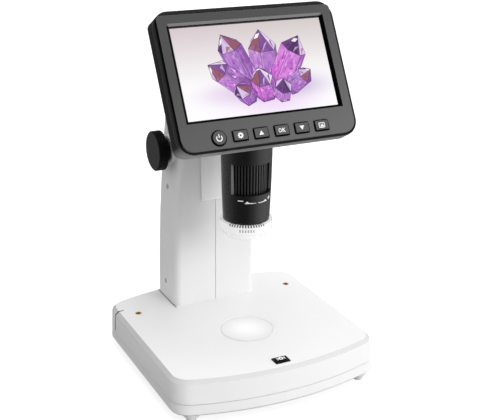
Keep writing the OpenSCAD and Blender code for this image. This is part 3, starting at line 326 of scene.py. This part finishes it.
def nose_dashes(m, low, high, first, last):
    """Flutes that show dark through the clear nose, painted on as shade, from height "low" to "high"
    below the barrel's edge and between two angles in degrees from the front."""
    flutes, width = 60, 0.26
    turn = m.math("ARCTAN2", *barrel_plan(m))
    part = m.math("FRACT", m.math("MULTIPLY", turn, flutes / math.tau))
    middle_turn, reach = math.radians((first + last) / 2), math.radians((last - first) / 2)
    return every(m, m.math("COMPARE", part, 0.5, width),
                 inside(m, above_barrel_foot(m), -(low + high) / 2, (high - low) / 2),
                 m.math("COMPARE", turn, middle_turn, reach))


def display_depth(m, at):
    """1 behind the depth "at" in the display's own frame."""
    return over(m, m.along(BACKWARDS, HINGE - BACKWARDS * HINGE_DEPTH * MM), at)


def display_plan(m):
    """Distances to the right and up from the screen's middle."""
    return m.along(X), m.along(UPWARDS, HINGE + UPWARDS * HINGE_DROP * MM)


def shaded_rim(m):
    """The display's rim, groove and button holes, but not the slope above the screen; their dark
    tone is painted shade.
    """
    x, z = display_plan(m)
    return apart(m, display_depth(m, -1.9), every(m, inside(m, x, 0, 50), inside(m, z, 1, 29.3)))


def low_right(m):
    """From 0 at the frame's upper left corner towards 1 at its lower right corner, which the white
    base lights."""
    x, z = display_plan(m)
    across, down, middle_level = 0.3 / (60 * MM), 0.7 / (60 * MM), 0.25
    level = m.math("SUBTRACT", m.math("MULTIPLY", x, across), m.math("MULTIPLY", z, down))
    return m.math("ADD", level, middle_level)


def painted_edge_highlight(m):
    """The frame's rounded edges, where a lighter tone is a painted highlight."""
    return m.edges(0.3 * MM)


def round_screen(m):
    """A shadow line round the screen's opening, but not above it."""
    x, z = display_plan(m)
    return every(m, inside(m, x, -0.1, OPENING_W / 2 + 0.8), inside(m, z, -0.9, 28.1))


def round_keys(m, left, right, low, high, radius):
    """1 on the keys' faces: how far they reach from their middles, and the round one's radius."""
    x, z = display_plan(m)
    half_pitch = KEY_PITCH / 2 * MM
    local = m.math("WRAP", m.math("SUBTRACT", x, half_pitch), half_pitch, -half_pitch)
    power = under(m, x, -2 * KEY_PITCH)
    across, up = (right - left) / 2, KEY_Z + (high - low) / 2
    square = every(m, inside(m, local, across, (left + right) / 2),
                   inside(m, z, up, (low + high) / 2))
    disc = under(m, distance(m, m.math("SUBTRACT", local, across * MM),
                             m.math("SUBTRACT", z, up * MM)), radius)
    faces = m.math("ADD", every(m, power, disc), apart(m, square, power))
    return every(m, faces, inside(m, x, 0, 3 * KEY_PITCH))


def round_key_holes(m):
    """A shadow line round each key's hole."""
    return round_keys(m, left=4.85, right=4.7, low=3.35, high=3.2, radius=4.65)


def shaded_key_edge(m):
    """The rolled edge of a key, painted dark as shade against the frame and widest at its left and
    lower sides.
    """
    face = round_keys(m, left=4.0, right=4.25, low=2.5, high=2.75, radius=3.85)
    return m.math("SUBTRACT", 1.0, face)


def shaded_key_wall(m):
    """The walls of a key behind its rolled edge, painted dark as shade."""
    return display_depth(m, -2.45)


def lit_from_below(m):
    """Faces that look down to the white base, lightened with painted light bounced from it."""
    return m.facing((0, -0.49, -0.87), 0.35, 0.8)


def upper_flutes(m):
    return nose_dashes(m, low=-0.1, high=1.2, first=-66, last=16)


def lower_flutes(m):
    return nose_dashes(m, low=2.4, high=4.2, first=-43, last=-8)


def lit_knob_faces(m):
    """The flat ends of the knobs, which face left and right, painted lighter as sheen."""
    return m.math("ADD", m.facing((-1, 0, 0), 0.8, 0.95), m.facing(X, 0.8, 0.95))


# ---------- materials ----------

# Masks that bring in a tone under this are gaps in shadow, which don't shine.
GAP_TONE = 15


def moulded(name, colour, roughness, grain=0.35 * MM, depth=0.25, edge=0.35 * MM, spread=0.02,
            specular=0.5, painted_edge_tone=None, masks=()):
    """Moulded plastic: slight colour drift, spark-eroded grain, rounded edges.

    "grain" and "edge" are sizes in metres; "masks" are pairs of a mask function and the tone that
    it brings in; the edge tone is a painted highlight along the edges."""
    m = Material(name)
    base = linear(colour)
    drift = m.noise(14 * MM, 3)
    tone = m.ramp(drift, [(0.3, shade(base, 1 - spread)), (0.7, shade(base, 1 + spread))])
    # Painted highlight: the edges take a lighter tone.
    if painted_edge_tone is not None:
        tone = m.mix(m.edges(edge), tone, linear(painted_edge_tone))
    shine = specular
    for mask, other in masks:
        found = mask(m)
        tone = m.mix(found, tone, linear(other))
        if other < GAP_TONE:
            shine = apart(m, shine, found)
    fine = m.noise(grain)
    m.set("Base Color", tone)
    m.set("Specular IOR Level", shine)
    m.set("Roughness", m.remap(fine, roughness - 0.04, roughness + 0.04))
    m.bump(fine, depth, 0.03 * MM, edge)
    return m.material


def metal(name, colour, roughness, metallic=1.0):
    """Machined metal: fine uneven marks, edges broken a little."""
    m = Material(name)
    base = linear(colour)
    marks = m.noise(0.6 * MM, 3)
    m.set("Metallic", metallic)
    m.set("Base Color", m.ramp(marks, [(0.3, shade(base, 0.86)), (0.7, base)]))
    m.set("Roughness", m.remap(marks, roughness - 0.07, roughness + 0.07))
    m.bump(marks, 0.15, 0.02 * MM, 0.15 * MM)
    return m.material


def clear(name, colour, ior, roughness, through=1.0, glow=0.0, painted_edge_tone=None, masks=()):
    """Clear plastic or glass; "through" is the share of light that passes, "glow" a painted glow
    that stands in for light passing through, "masks" as for moulded; a darker edge tone is painted
    shade."""
    m = Material(name)
    base = linear(colour)
    fine = m.noise(0.6 * MM)
    tone = m.ramp(fine, [(0.3, shade(base, 0.96)), (0.7, base)])
    # Painted shade: the edges take a darker tone.
    if painted_edge_tone is not None:
        tone = m.mix(m.edges(0.4 * MM), tone, linear(painted_edge_tone))
    for mask, other in masks:
        tone = m.mix(mask(m), tone, linear(other))
    m.set("Base Color", tone)
    # Painted light: the piece glows though it holds no lamp.
    if glow:
        m.set("Emission Color", tone)
        m.set("Emission Strength", glow)
    m.set("Roughness", m.remap(fine, roughness, roughness + 0.05))
    m.set("Transmission Weight", through)
    m.set("IOR", ior)
    m.bump(fine, 0.1, 0.02 * MM)
    return m.material


def lit_disc(name):
    """The stage disc's frosted acrylic with its light on: brightest in the middle, a soft grey
    towards the rim that is painted shade, and light that leaks from its side."""
    m = Material(name)
    low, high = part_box("stage_disc")
    centre, radius = (0, (low.y + high.y) / 2, high.z), high.x
    rim, side = 0.985, 0.995
    out = m.remap(m.vector_math("DISTANCE", m.coords, centre)["Value"], 0, 1, (0, radius))
    m.set("Base Color", m.ramp(out, [(0.3, linear(242)), (0.9, linear(236)), (rim, linear(214))]))
    m.set("Emission Color", m.ramp(out, [(0.1, linear(255)), (0.8, linear(0)), (rim, linear(0)),
                                         (side, linear(255))]))
    m.set("Emission Strength", m.remap(out, 0.1, 0.6, (rim, side)))
    grain = m.noise(0.5 * MM)
    m.set("Roughness", m.remap(grain, 0.42, 0.52))
    m.bump(grain, 0.1, 0.02 * MM, 0.2 * MM)
    return m.material


def ink(name, colour):
    """Printed ink, slightly uneven."""
    m = Material(name)
    base = linear(colour)
    m.set("Base Color", m.ramp(m.noise(0.3 * MM), [(0.35, shade(base, 0.93)), (0.6, base)]))
    m.set("Roughness", 0.5)
    return m.material


def lit_picture(name):
    """The screen's picture: it shines in the colours of its mesh."""
    m = Material(name)
    m.set("Base Color", (0.02, 0.02, 0.02, 1))
    m.set("Roughness", 0.35)
    m.set("Specular IOR Level", 0.15)
    m.set("Emission Strength", 0.97)
    m.set("Emission Color", m.node("ShaderNodeVertexColor", layer_name="ink").outputs["Color"])
    return m.material


# Painted shade on the white shell: a darker bevel round the deck, dark walls in the base's slit and
# a shadow line at the column's foot.
WHITE = moulded("white_abs", 238, 0.42, edge=0.3 * MM, spread=0.006,
                masks=[(shaded_bevel, 205), (shaded_slit, 60), (at_column_foot, 170)])
COVER = moulded("white_cover_abs", 236, 0.45, edge=0.5 * MM, spread=0.006)
# The slide plate takes a whiter copy of the shell's plastic: painted light, for the brighter light
# it catches.
LIT_PLATE = moulded("white_plate_abs", 250, 0.42, edge=0.15 * MM, spread=0.006)
RUBBER = moulded("pale_rubber", 236, 0.75, grain=0.5 * MM, edge=0.3 * MM)
# Painted light and shade on the display's frame: lighter towards the lower right where the white
# base lights it, a highlight on the edges, shade on the rim, groove and key holes, light from below
# on faces that look down, and shadow lines round the screen and the keys.
BEZEL = moulded("bezel_texture", 68, 0.52, grain=0.3 * MM, depth=0.5, edge=0.3 * MM, specular=0.3,
                masks=[(low_right, 97), (painted_edge_highlight, 122), (shaded_rim, 24), (lit_from_below, 150),
                       (round_screen, 10), (round_key_holes, 10)])
# Painted light on the case: a highlight on its edges and, on faces that look down, light from the
# white base.
CASE = moulded("case_texture", (16, 17, 18), 0.5, grain=0.3 * MM, depth=0.4, edge=0.3 * MM,
               specular=0.1, painted_edge_tone=112, masks=[(lit_from_below, 155)])
# Painted light on the barrel: the left side of its window is lighter where it faces the light.
BARREL = moulded("barrel_satin", (9, 9, 10), 0.28, grain=0.3 * MM, depth=0.2, edge=0.25 * MM,
                 specular=0.7, masks=[(lit_window_side, 112)])
WHEEL = moulded("wheel_rubber", (46, 46, 47), 0.34, grain=0.4 * MM, edge=0.15 * MM, specular=0.6,
                masks=[(shaded_rib_valleys, 5)])
KNOB = moulded("knob_satin", (9, 9, 10), 0.42, grain=0.3 * MM, depth=0.2, edge=0.25 * MM,
               specular=0.12, masks=[(lit_knob_faces, 44)])
# Painted light and shade on the keys: a highlight on their edges, shade on their walls and rolled
# edges.
KEY = moulded("key_satin", 80, 0.45, grain=0.3 * MM, specular=0.3, painted_edge_tone=120,
              masks=[(shaded_key_wall, 10), (shaded_key_edge, 12)])
# The black plastic's lighter edges are a painted highlight.
BLACK = moulded("black_abs", (16, 16, 17), 0.4, edge=0.2 * MM, specular=0.2, painted_edge_tone=70)
GREY = moulded("grey_acetal", (80, 82, 86), 0.45)
BOARD = moulded("board_green", (36, 92, 58), 0.35, grain=0.8 * MM, edge=0.05 * MM, spread=0.08)
PALE_BOARD = moulded("board_white", (226, 226, 220), 0.4, grain=0.8 * MM, edge=0.05 * MM)
STEEL = metal("ground_steel", (186, 190, 194), 0.3)
DARK_STEEL = metal("dark_steel", (120, 124, 128), 0.38)
SCREW = metal("screw_steel", (104, 106, 108), 0.36)
BRASS = metal("turned_brass", (216, 166, 92), 0.34, metallic=0.5)
# On the clear nose the glow is painted light, and the darker edges and flute dashes are painted
# shade.
CLEAR = clear("clear_acrylic", 255, 1.2, 0.12, through=0.5, glow=0.12, painted_edge_tone=192,
              masks=[(upper_flutes, 70), (lower_flutes, 165)])
GLASS = clear("lens_glass", (246, 249, 255), 1.5, 0.0)
PANEL = moulded("screen_black", (16, 16, 18), 0.16, grain=0.6 * MM, depth=0.05, edge=0.1 * MM)
DISC = lit_disc("lit_acrylic")
INK = ink("printed_ink", (248, 249, 250))
PICTURE = lit_picture("lit_screen")

SLOTS = {"white_shell": WHITE, "white_cover": COVER, "foot_rubber": RUBBER, "screw_steel": SCREW,
         "dark_steel": DARK_STEEL, "rod_steel": STEEL, "insert_brass": BRASS, "frosted_disc": DISC,
         "board_green": BOARD, "board_white": PALE_BOARD, "grey_plastic": GREY,
         "black_plastic": BLACK, "barrel_black": BARREL, "wheel_black": WHEEL,
         "knob_black": KNOB, "button_black": KEY, "display_front": BEZEL, "display_dark": CASE,
         "lcd_screen": PANEL, "lens_glass": GLASS, "clear_plastic": CLEAR}
OWN = {"slide_plate": LIT_PLATE, "light_button": BLACK}
for part in frame["record"]["subparts"]:
    mesh = nodes[part["node"]].data
    mesh.materials.clear()
    mesh.materials.append(OWN.get(part["node"]) or SLOTS[part["material_slot"]])


# ---------- printed marks; sizes in mm ----------

def on_display(x, y, z):
    """A point of the display's own frame, in mm, as a place in metres."""
    local = Vector((x, y - HINGE_DEPTH, z + HINGE_DROP)) * MM
    return Matrix.Rotation(-TILT, 3, "X") @ local + HINGE


class Patch:
    """A flat-shaded mesh of polygons with colours at their corners. "place" maps two coordinates
    and a depth to a place."""

    def __init__(self, name, place):
        self.name, self.place = name, place
        self.points, self.faces, self.colours = [], [], []

    def add(self, outline, colours=None, depth=0.0):
        """One polygon; "colours" is one for all corners, one for each, or None for white."""
        first = len(self.points)
        self.points += [self.place(x, z, depth) for x, z in outline]
        self.faces.append(tuple(range(first, len(self.points))))
        if colours is None or isinstance(colours[0], (int, float)):
            colours = [colours or (255, 255, 255)] * len(outline)
        self.colours += [linear(c) for c in colours]

    def ring(self, cx, cz, r0, r1, a0=0, a1=360, n=28, squash=1.0):
        """A ring or arc between two radii, clockwise from the top, in n steps."""
        for i in range(n):
            b0, b1 = (math.radians(a0 + (a1 - a0) * k / n) for k in (i, i + 1))
            self.add([(cx + r * squash * math.sin(b), cz + r * math.cos(b))
                      for r, b in ((r0, b0), (r1, b0), (r1, b1), (r0, b1))])

    def bar(self, x0, z0, x1, z1, w, colour=None, depth=0.0):
        """A straight stroke of width w from one point to the other."""
        length = math.hypot(x1 - x0, z1 - z0)
        nx, nz = -(z1 - z0) / length * w / 2, (x1 - x0) / length * w / 2
        self.add([(x0 + nx, z0 + nz), (x0 - nx, z0 - nz), (x1 - nx, z1 - nz), (x1 + nx, z1 + nz)],
                 colour, depth)

    def finish(self, body, material):
        mesh = bpy.data.meshes.new(self.name)
        mesh.from_pydata(self.points, [], self.faces)
        layer = mesh.color_attributes.new("ink", "FLOAT_COLOR", "CORNER")
        layer.data.foreach_set("color", [v for c in self.colours for v in c])
        mesh.materials.append(material)
        piece = bpy.data.objects.new(self.name, mesh)
        scene.collection.objects.link(piece)
        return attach(piece, body)


def power_sign(patch):
    patch.ring(0, -0.1, 1.35, 1.9, 46, 314)
    patch.bar(0, 0.1, 0, 2.2, 0.5)


def menu_sign(patch):
    patch.ring(0, 0, 0.62, 1.35)
    for tooth in range(8):
        a = math.radians(45 * tooth)
        patch.bar(1.2 * math.sin(a), 1.2 * math.cos(a), 1.8 * math.sin(a), 1.8 * math.cos(a), 0.62)


def arrow_sign(patch, way):
    patch.add([(-1.45, -1.1 * way), (1.45, -1.1 * way), (0, 1.3 * way)])


def ok_sign(patch):
    patch.ring(-1.2, 0, 0.75, 1.2, squash=0.8)
    patch.bar(0.4, -1.2, 0.4, 1.2, 0.44)
    patch.bar(0.55, -0.05, 1.8, 1.2, 0.44)
    patch.bar(0.85, 0.25, 1.9, -1.2, 0.44)


def capture_sign(patch):
    """A framed picture of a hill."""
    for x0, z0, x1, z1 in ((-1.9, 1.3, 1.9, 1.3), (-1.9, -1.3, 1.9, -1.3),
                           (-1.75, -1.4, -1.75, 1.4), (1.75, -1.4, 1.75, 1.4)):
        patch.bar(x0, z0, x1, z1, 0.42)
    patch.add([(-1.1, -0.85), (1.25, -0.85), (0.6, 0.8), (0.1, 0.0), (-0.4, 0.45)])


def add_key_symbols():
    signs = {"power": power_sign, "menu": menu_sign, "up": lambda patch: arrow_sign(patch, 1),
             "ok": ok_sign, "down": lambda patch: arrow_sign(patch, -1), "capture": capture_sign}
    for i, key in enumerate(KEYS):
        def place(x, z, depth, middle_x=(i - 2.5) * KEY_PITCH):
            return on_display(middle_x + x, KEY_FACE - PRINT_LIFT, KEY_Z + z)

        patch = Patch(key + "_symbol", place)
        signs[key](patch)
        patch.finish(key + "_key", INK)


def add_barrel_marks():
    """Minus, plus and two half arrows printed round the barrel, by angle from the front in degrees
    and height above its lower edge."""
    low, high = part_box("barrel_shell")
    radius, height, taper = high.x, high.z - low.z, 1.3 * MM

    def place(angle, z, depth):
        r = radius - taper * (1 - z * MM / height) ** 2 + PRINT_LIFT * MM
        a = math.radians(angle)
        return Vector((r * math.sin(a), AXIS_Y - r * math.cos(a), low.z + z * MM))

    patch = Patch("barrel_marks", place)

    def band(a0, a1, z0, z1, z2, z3):
        """A band from angle a0, heights z0 to z1, to angle a1, heights z2 to z3."""
        n = max(1, round(abs(a1 - a0) / 3))
        cuts = [(a0 + (a1 - a0) * f, z0 + (z2 - z0) * f, z1 + (z3 - z1) * f)
                for f in (k / n for k in range(n + 1))]
        for (a, foot, top), (b, next_foot, next_top) in zip(cuts, cuts[1:]):
            patch.add([(a, foot), (b, next_foot), (b, next_top), (a, top)])

    # minus sign, left arrow, right arrow, plus sign
    band(-46, -33, 15.15, 15.8, 15.15, 15.8)
    band(-30, -24, 13.8, 13.95, 13.8, 15.35)
    band(-24, -20, 13.8, 15.35, 13.8, 14.4)
    band(-20, -3, 13.8, 14.4, 13.8, 14.1)
    band(2, 19, 13.8, 14.1, 13.8, 14.4)
    band(19, 23, 13.8, 14.4, 13.8, 15.35)
    band(23, 29, 13.8, 15.35, 13.8, 13.95)
    band(32.5, 42.5, 15.0, 15.7, 15.0, 15.7)
    band(36, 39, 14.1, 16.6, 14.1, 16.6)
    patch.finish("head", INK)


def add_light_symbol():
    """A lamp sign on the light button, just left of its middle."""
    spot = middle("light_button") + Vector((-0.2, -0.1, 0)) * MM
    spot.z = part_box("light_button")[1].z + PRINT_LIFT * MM
    patch = Patch("light_symbol", lambda x, y, depth: spot + Vector((x, y, 0)) * MM)
    patch.ring(0, 0, 0.6, 1.6, n=20)
    for side in (-1, 1):
        for lean in (-0.75, 0, 0.75):
            patch.bar(1.8 * side, lean, 2.8 * side, 1.6 * lean, 0.55)
    patch.finish("light_key", INK)


# ---------- the picture on the screen; sizes in mm ----------

DEEP, PALE, OUTLINE = (92, 40, 122), (242, 214, 250), (74, 34, 96)
LILAC = ((196, 116, 216), (214, 148, 234))
PINK = ((226, 88, 220), (236, 140, 244))
PLUM = ((158, 92, 192), (196, 122, 222))
STREAKS = (DEEP, (250, 226, 255), (150, 76, 190), (226, 96, 232), (120, 56, 160))
ENDS = [(70, 24, 92), (222, 200, 236), (150, 82, 92), (120, 66, 146), (236, 220, 246), (96, 40, 118)]

# Soft spots on the ground: middle, reach across and up, colour, strength.
SPOTS = ((6, -14, 25, 5.5, (150, 116, 176), 0.85), (24, -12, 18, 6, (206, 192, 222), 0.6),
         (8, -22, 24, 7, (240, 214, 248), 0.75), (-22, -14, 16, 6, (236, 214, 240), 0.6))

# Crystals from the back one to the front one: foot, lean, length, radius, turn about their axis,
# tilt towards the viewer, tones.
CRYSTALS = (((5, -12), 4, 36, 9.4, 20, 24, LILAC), ((-5, -12), -19, 37, 8.2, 40, 22, PLUM),
            ((13, -12), 33, 35, 8.2, 8, 20, PINK), ((-9, -12), -50, 28, 7.4, 30, 28, LILAC),
            ((19, -14), 60, 21, 5.4, 20, 34, PLUM), ((3, -16), -5, 21, 7.2, 4, 48, PINK),
            ((-8, -17), -36, 16, 6.0, 44, 56, PLUM), ((13, -18), 20, 15, 5.6, 30, 54, LILAC))


def mixed(a, b, t):
    return tuple(x + (y - x) * t for x, y in zip(a, b))


def flat(v):
    return (v.x, v.z)


def add_crystal(patch, rng, base, lean, length, r, turn, tilt, tones, depth):
    """A six-sided crystal with a pointed end, drawn face by face; angles in degrees."""
    a, t = math.radians(lean), math.radians(tilt)
    axis = Vector((math.sin(a) * math.cos(t), -math.sin(t), math.cos(a) * math.cos(t)))
    side = axis.cross(Vector((0, -1, 0))).normalized()
    other = axis.cross(side)
    corner = [side * math.cos(b) * r + other * math.sin(b) * r
              for b in (math.radians(turn + 60 * k) for k in range(6))]
    start = Vector((base[0], 0, base[1]))
    body = axis * (length - r * 1.05)
    tip = start + axis * length + (corner[1] + corner[2]) * 0.16

    def line(u, v, w, colour, lift=0.012):
        patch.bar(u.x, u.z, v.x, v.z, w, colour, depth - lift)

    def add_side(p, q):
        """One long face between two edges, in small quads, with streaks and lines over them."""
        facing = (p + q).normalized()
        light = max(0.0, facing.dot(Vector((-0.35, -0.85, 0.38))))
        face = mixed(tones[0], tones[1], min(1, max(0, 0.5 + facing.x * 0.6)))
        rows, columns = 12, 5
        for i in range(rows):
            for j in range(columns):
                quad, colours = [], []
                for di, dj in ((0, 0), (0, 1), (1, 1), (1, 0)):
                    f, g = (i + di) / rows, (j + dj) / columns
                    quad.append(flat(start + body * f + p.lerp(q, g)))
                    glow = light * (0.2 + 0.6 * max(0, f - 0.15)) * (0.5 + g * 0.5)
                    tone = mixed(mixed(DEEP, face, min(1, f * 2.6 + 0.12)), PALE, glow)
                    colours.append(mixed(tone, DEEP, 0.1 + 0.5 * max(0, facing.x + 0.15)))
                drift = rng.uniform(-0.28, 0.18)
                to = (255, 232, 255) if drift > 0 else (98, 36, 132)
                patch.add(quad, [mixed(c, to, abs(drift)) for c in colours], depth)
        for n in range(7):
            f, g = rng.uniform(0.02, 0.75), rng.uniform(0.02, 0.75)
            w, h = rng.uniform(0.08, 0.3), rng.uniform(0.12, 0.4)
            slip, narrow = rng.uniform(-0.06, 0.06), rng.uniform(0.1, 0.9)
            streak = [start + body * min(1, f + b) + p.lerp(q, min(1, g + c))
                      for b, c in ((0, 0), (slip, w), (h, w * narrow))]
            tint = STREAKS[n % len(STREAKS)]
            patch.add([flat(v) for v in streak],
                      [mixed(tint, face, 0.25), mixed(tint, face, 0.6), face], depth - 0.004)
        line(start + p + body * 0.03, start + p + body, 0.2, mixed(DEEP, face, 0.15))
        beside = start + p + (q - p) * 0.07
        line(beside + body * 0.3, beside + body * 0.98, 0.16, mixed(face, (255, 240, 255), 0.6),
             0.010)
        line(start + q + body * 0.03, start + q + body, 0.2, mixed(DEEP, face, 0.15))
        line(start + body + p, start + body + q, 0.26, OUTLINE)

    def add_end(p, q, tone, next_tone):
        """One facet of the point, between two corners and the tip."""
        centre = (p + q + tip) / 3
        for u, v in ((p, q), (q, tip), (tip, p)):
            patch.add([flat(u), flat(v), flat(centre)],
                      [mixed(tone, (228, 170, 240), rng.uniform(0, 0.35)),
                       mixed(tone, DEEP, rng.uniform(0, 0.5)), tone], depth - 0.008)
        shard = [p.lerp(q, rng.uniform(0.1, 0.5)), q.lerp(tip, rng.uniform(0.2, 0.7)), centre]
        patch.add([flat(v) for v in shard], mixed(next_tone, tone, 0.3), depth - 0.010)
        line(p, tip, 0.2, OUTLINE)
        line(q, tip, 0.2, OUTLINE)

    for k in range(6):
        p, q = corner[k], corner[(k + 1) % 6]
        if (p + q).y <= 0:
            add_side(p, q)
    first = rng.randrange(6)
    ends = ENDS[first:] + ENDS[:first]
    for k in range(6):
        p, q = start + body + corner[k], start + body + corner[(k + 1) % 6]
        if (q - p).cross(tip - p).y <= 0:
            add_end(p, q, ends[k], ends[(k + 1) % 6])
    glint = [tip.lerp(start + body + corner[2], f) + (corner[1] - corner[2]) * g
             for f, g in ((0.4, 0.05), (0.32, 0.28), (0.72, 0.4), (0.8, 0.16))]
    patch.add([flat(v) for v in glint], (250, 246, 253), depth - 0.014)


def ground(x, z):
    """The picture's ground: greyish at the top, white further down, with soft spots."""
    u, v = x / PICTURE_W + 0.5, (PICTURE_HIGH - z) / (PICTURE_HIGH - PICTURE_LOW)
    top = mixed((214, 200, 205), (212, 202, 201), u)
    tone = mixed(top, (255, 254, 255), min(1, v * 1.5))
    for cx, cz, rx, rz, colour, most in SPOTS:
        spot = math.exp(-((x - cx) / rx) ** 2 - ((z - cz) / rz) ** 2)
        tone = mixed(tone, colour, most * spot)
    return tone


def add_screen():
    """The lit picture: violet crystals on a pale ground."""
    patch = Patch("screen_picture", lambda x, z, depth: on_display(x, depth - PRINT_LIFT, z))
    columns, rows = 64, 36
    for i in range(columns):
        for j in range(rows):
            left, right = (PICTURE_W * (k / columns - 0.5) for k in (i, i + 1))
            low, high = (PICTURE_LOW + (PICTURE_HIGH - PICTURE_LOW) * k / rows for k in (j, j + 1))
            outline = [(left, low), (right, low), (right, high), (left, high)]
            patch.add(outline, [ground(x, z) for x, z in outline])
    rng = random.Random(5)
    for n, crystal in enumerate(CRYSTALS):
        add_crystal(patch, rng, *crystal, depth=-0.02 * (n + 1))
    patch.finish("display", PICTURE)


add_key_symbols()
add_barrel_marks()
add_light_symbol()
add_screen()


# ---------- surroundings ----------

# What mirrors see round the object, as (place, brightness) from behind over the left, the front and
# the right back to behind: a dim room, darkest at the front's left half, with a white panel at the
# front's right half.
ROOM = ((0.0, 0.3), (0.06, 0.42), (0.2, 0.4), (0.31, 0.15), (0.44, 0.12), (0.53, 0.45), (0.6, 1.0),
        (0.68, 1.0), (0.77, 0.5), (0.86, 0.22), (0.92, 0.22), (1.0, 0.3))
FLOOR_TONE, FLOOR_GLOW, DAYLIGHT = 0.42, 0.8, 0.445


def room_tone(n, direction):
    """The room's brightness in a direction."""
    parts = n.node("ShaderNodeSeparateXYZ")
    n.put(parts.inputs["Vector"], direction)
    front = n.math("MULTIPLY", parts.outputs["Y"], -1.0)
    turn = n.math("ARCTAN2", parts.outputs["X"], front)
    part = n.remap(turn, 0, 1, (-math.pi, math.pi))
    return n.ramp(part, [(at, (tone, tone, tone, 1)) for at, tone in ROOM])


def white_rays(n):
    """1 for rays from the camera and through clear pieces, otherwise 0."""
    path = n.node("ShaderNodeLightPath").outputs
    return n.math("MAXIMUM", path["Is Camera Ray"], path["Is Transmission Ray"])


def add_floor():
    """A white floor just under the feet; mirrors see the room in it."""
    size, gap = 6, 0.02 * MM
    mesh = bpy.data.meshes.new("floor")
    mesh.from_pydata([(-size, -size, 0), (size, -size, 0), (size, size, 0), (-size, size, 0)], [],
                     [(0, 1, 2, 3)])
    floor = bpy.data.objects.new("floor", mesh)
    floor.location.z = -gap
    scene.collection.objects.link(floor)
    m = Material("floor_white")
    glossy = m.node("ShaderNodeLightPath").outputs["Is Glossy Ray"]
    m.set("Base Color", m.choose(glossy, FLOOR_TONE, 0.0))
    m.set("Roughness", 0.9)
    m.set("Specular IOR Level", 0)
    m.set("Emission Color", (1, 1, 1, 1))
    mirrored = m.choose(glossy, 0.0, room_tone(m, m.coords))
    m.set("Emission Strength", m.choose(white_rays(m), mirrored, FLOOR_GLOW))
    mesh.materials.append(m.material)


def add_world():
    """White for the camera, an even light for the object, the room for mirrors."""
    world = bpy.data.worlds.new("world")
    scene.world = world
    world.use_nodes = True
    n = Nodes(world.node_tree)
    glossy = n.node("ShaderNodeLightPath").outputs["Is Glossy Ray"]
    direction = n.node("ShaderNodeTexCoord").outputs["Generated"]
    lit = n.choose(glossy, DAYLIGHT, room_tone(n, direction))
    background = n.tree.nodes["Background"].inputs
    n.put(background["Color"], (1, 1, 1, 1))
    n.put(background["Strength"], n.choose(white_rays(n), lit, 1.0))


def add_sun(name, towards, strength, spread):
    """A wide soft lamp that mirrors don't see; "towards" points from the object to the lamp, and
    strength 1 lights white fully."""
    data = bpy.data.lights.new(name, "SUN")
    data.energy, data.angle = strength * math.pi, math.radians(spread)
    lamp = bpy.data.objects.new(name, data)
    lamp.visible_glossy = False
    lamp.rotation_mode = "QUATERNION"
    lamp.rotation_quaternion = Vector(towards).to_track_quat("Z", "Y")
    scene.collection.objects.link(lamp)


add_floor()
add_world()
add_sun("key", (0.38, -0.86, 0.39), 0.405, 32)
add_sun("side", (0.85, -0.4, 0.34), 0.08, 50)
add_sun("left", (-0.8, 0.45, 0.34), 0.07, 60)
add_sun("top", (0.2, -0.12, 0.97), 0.62, 60)
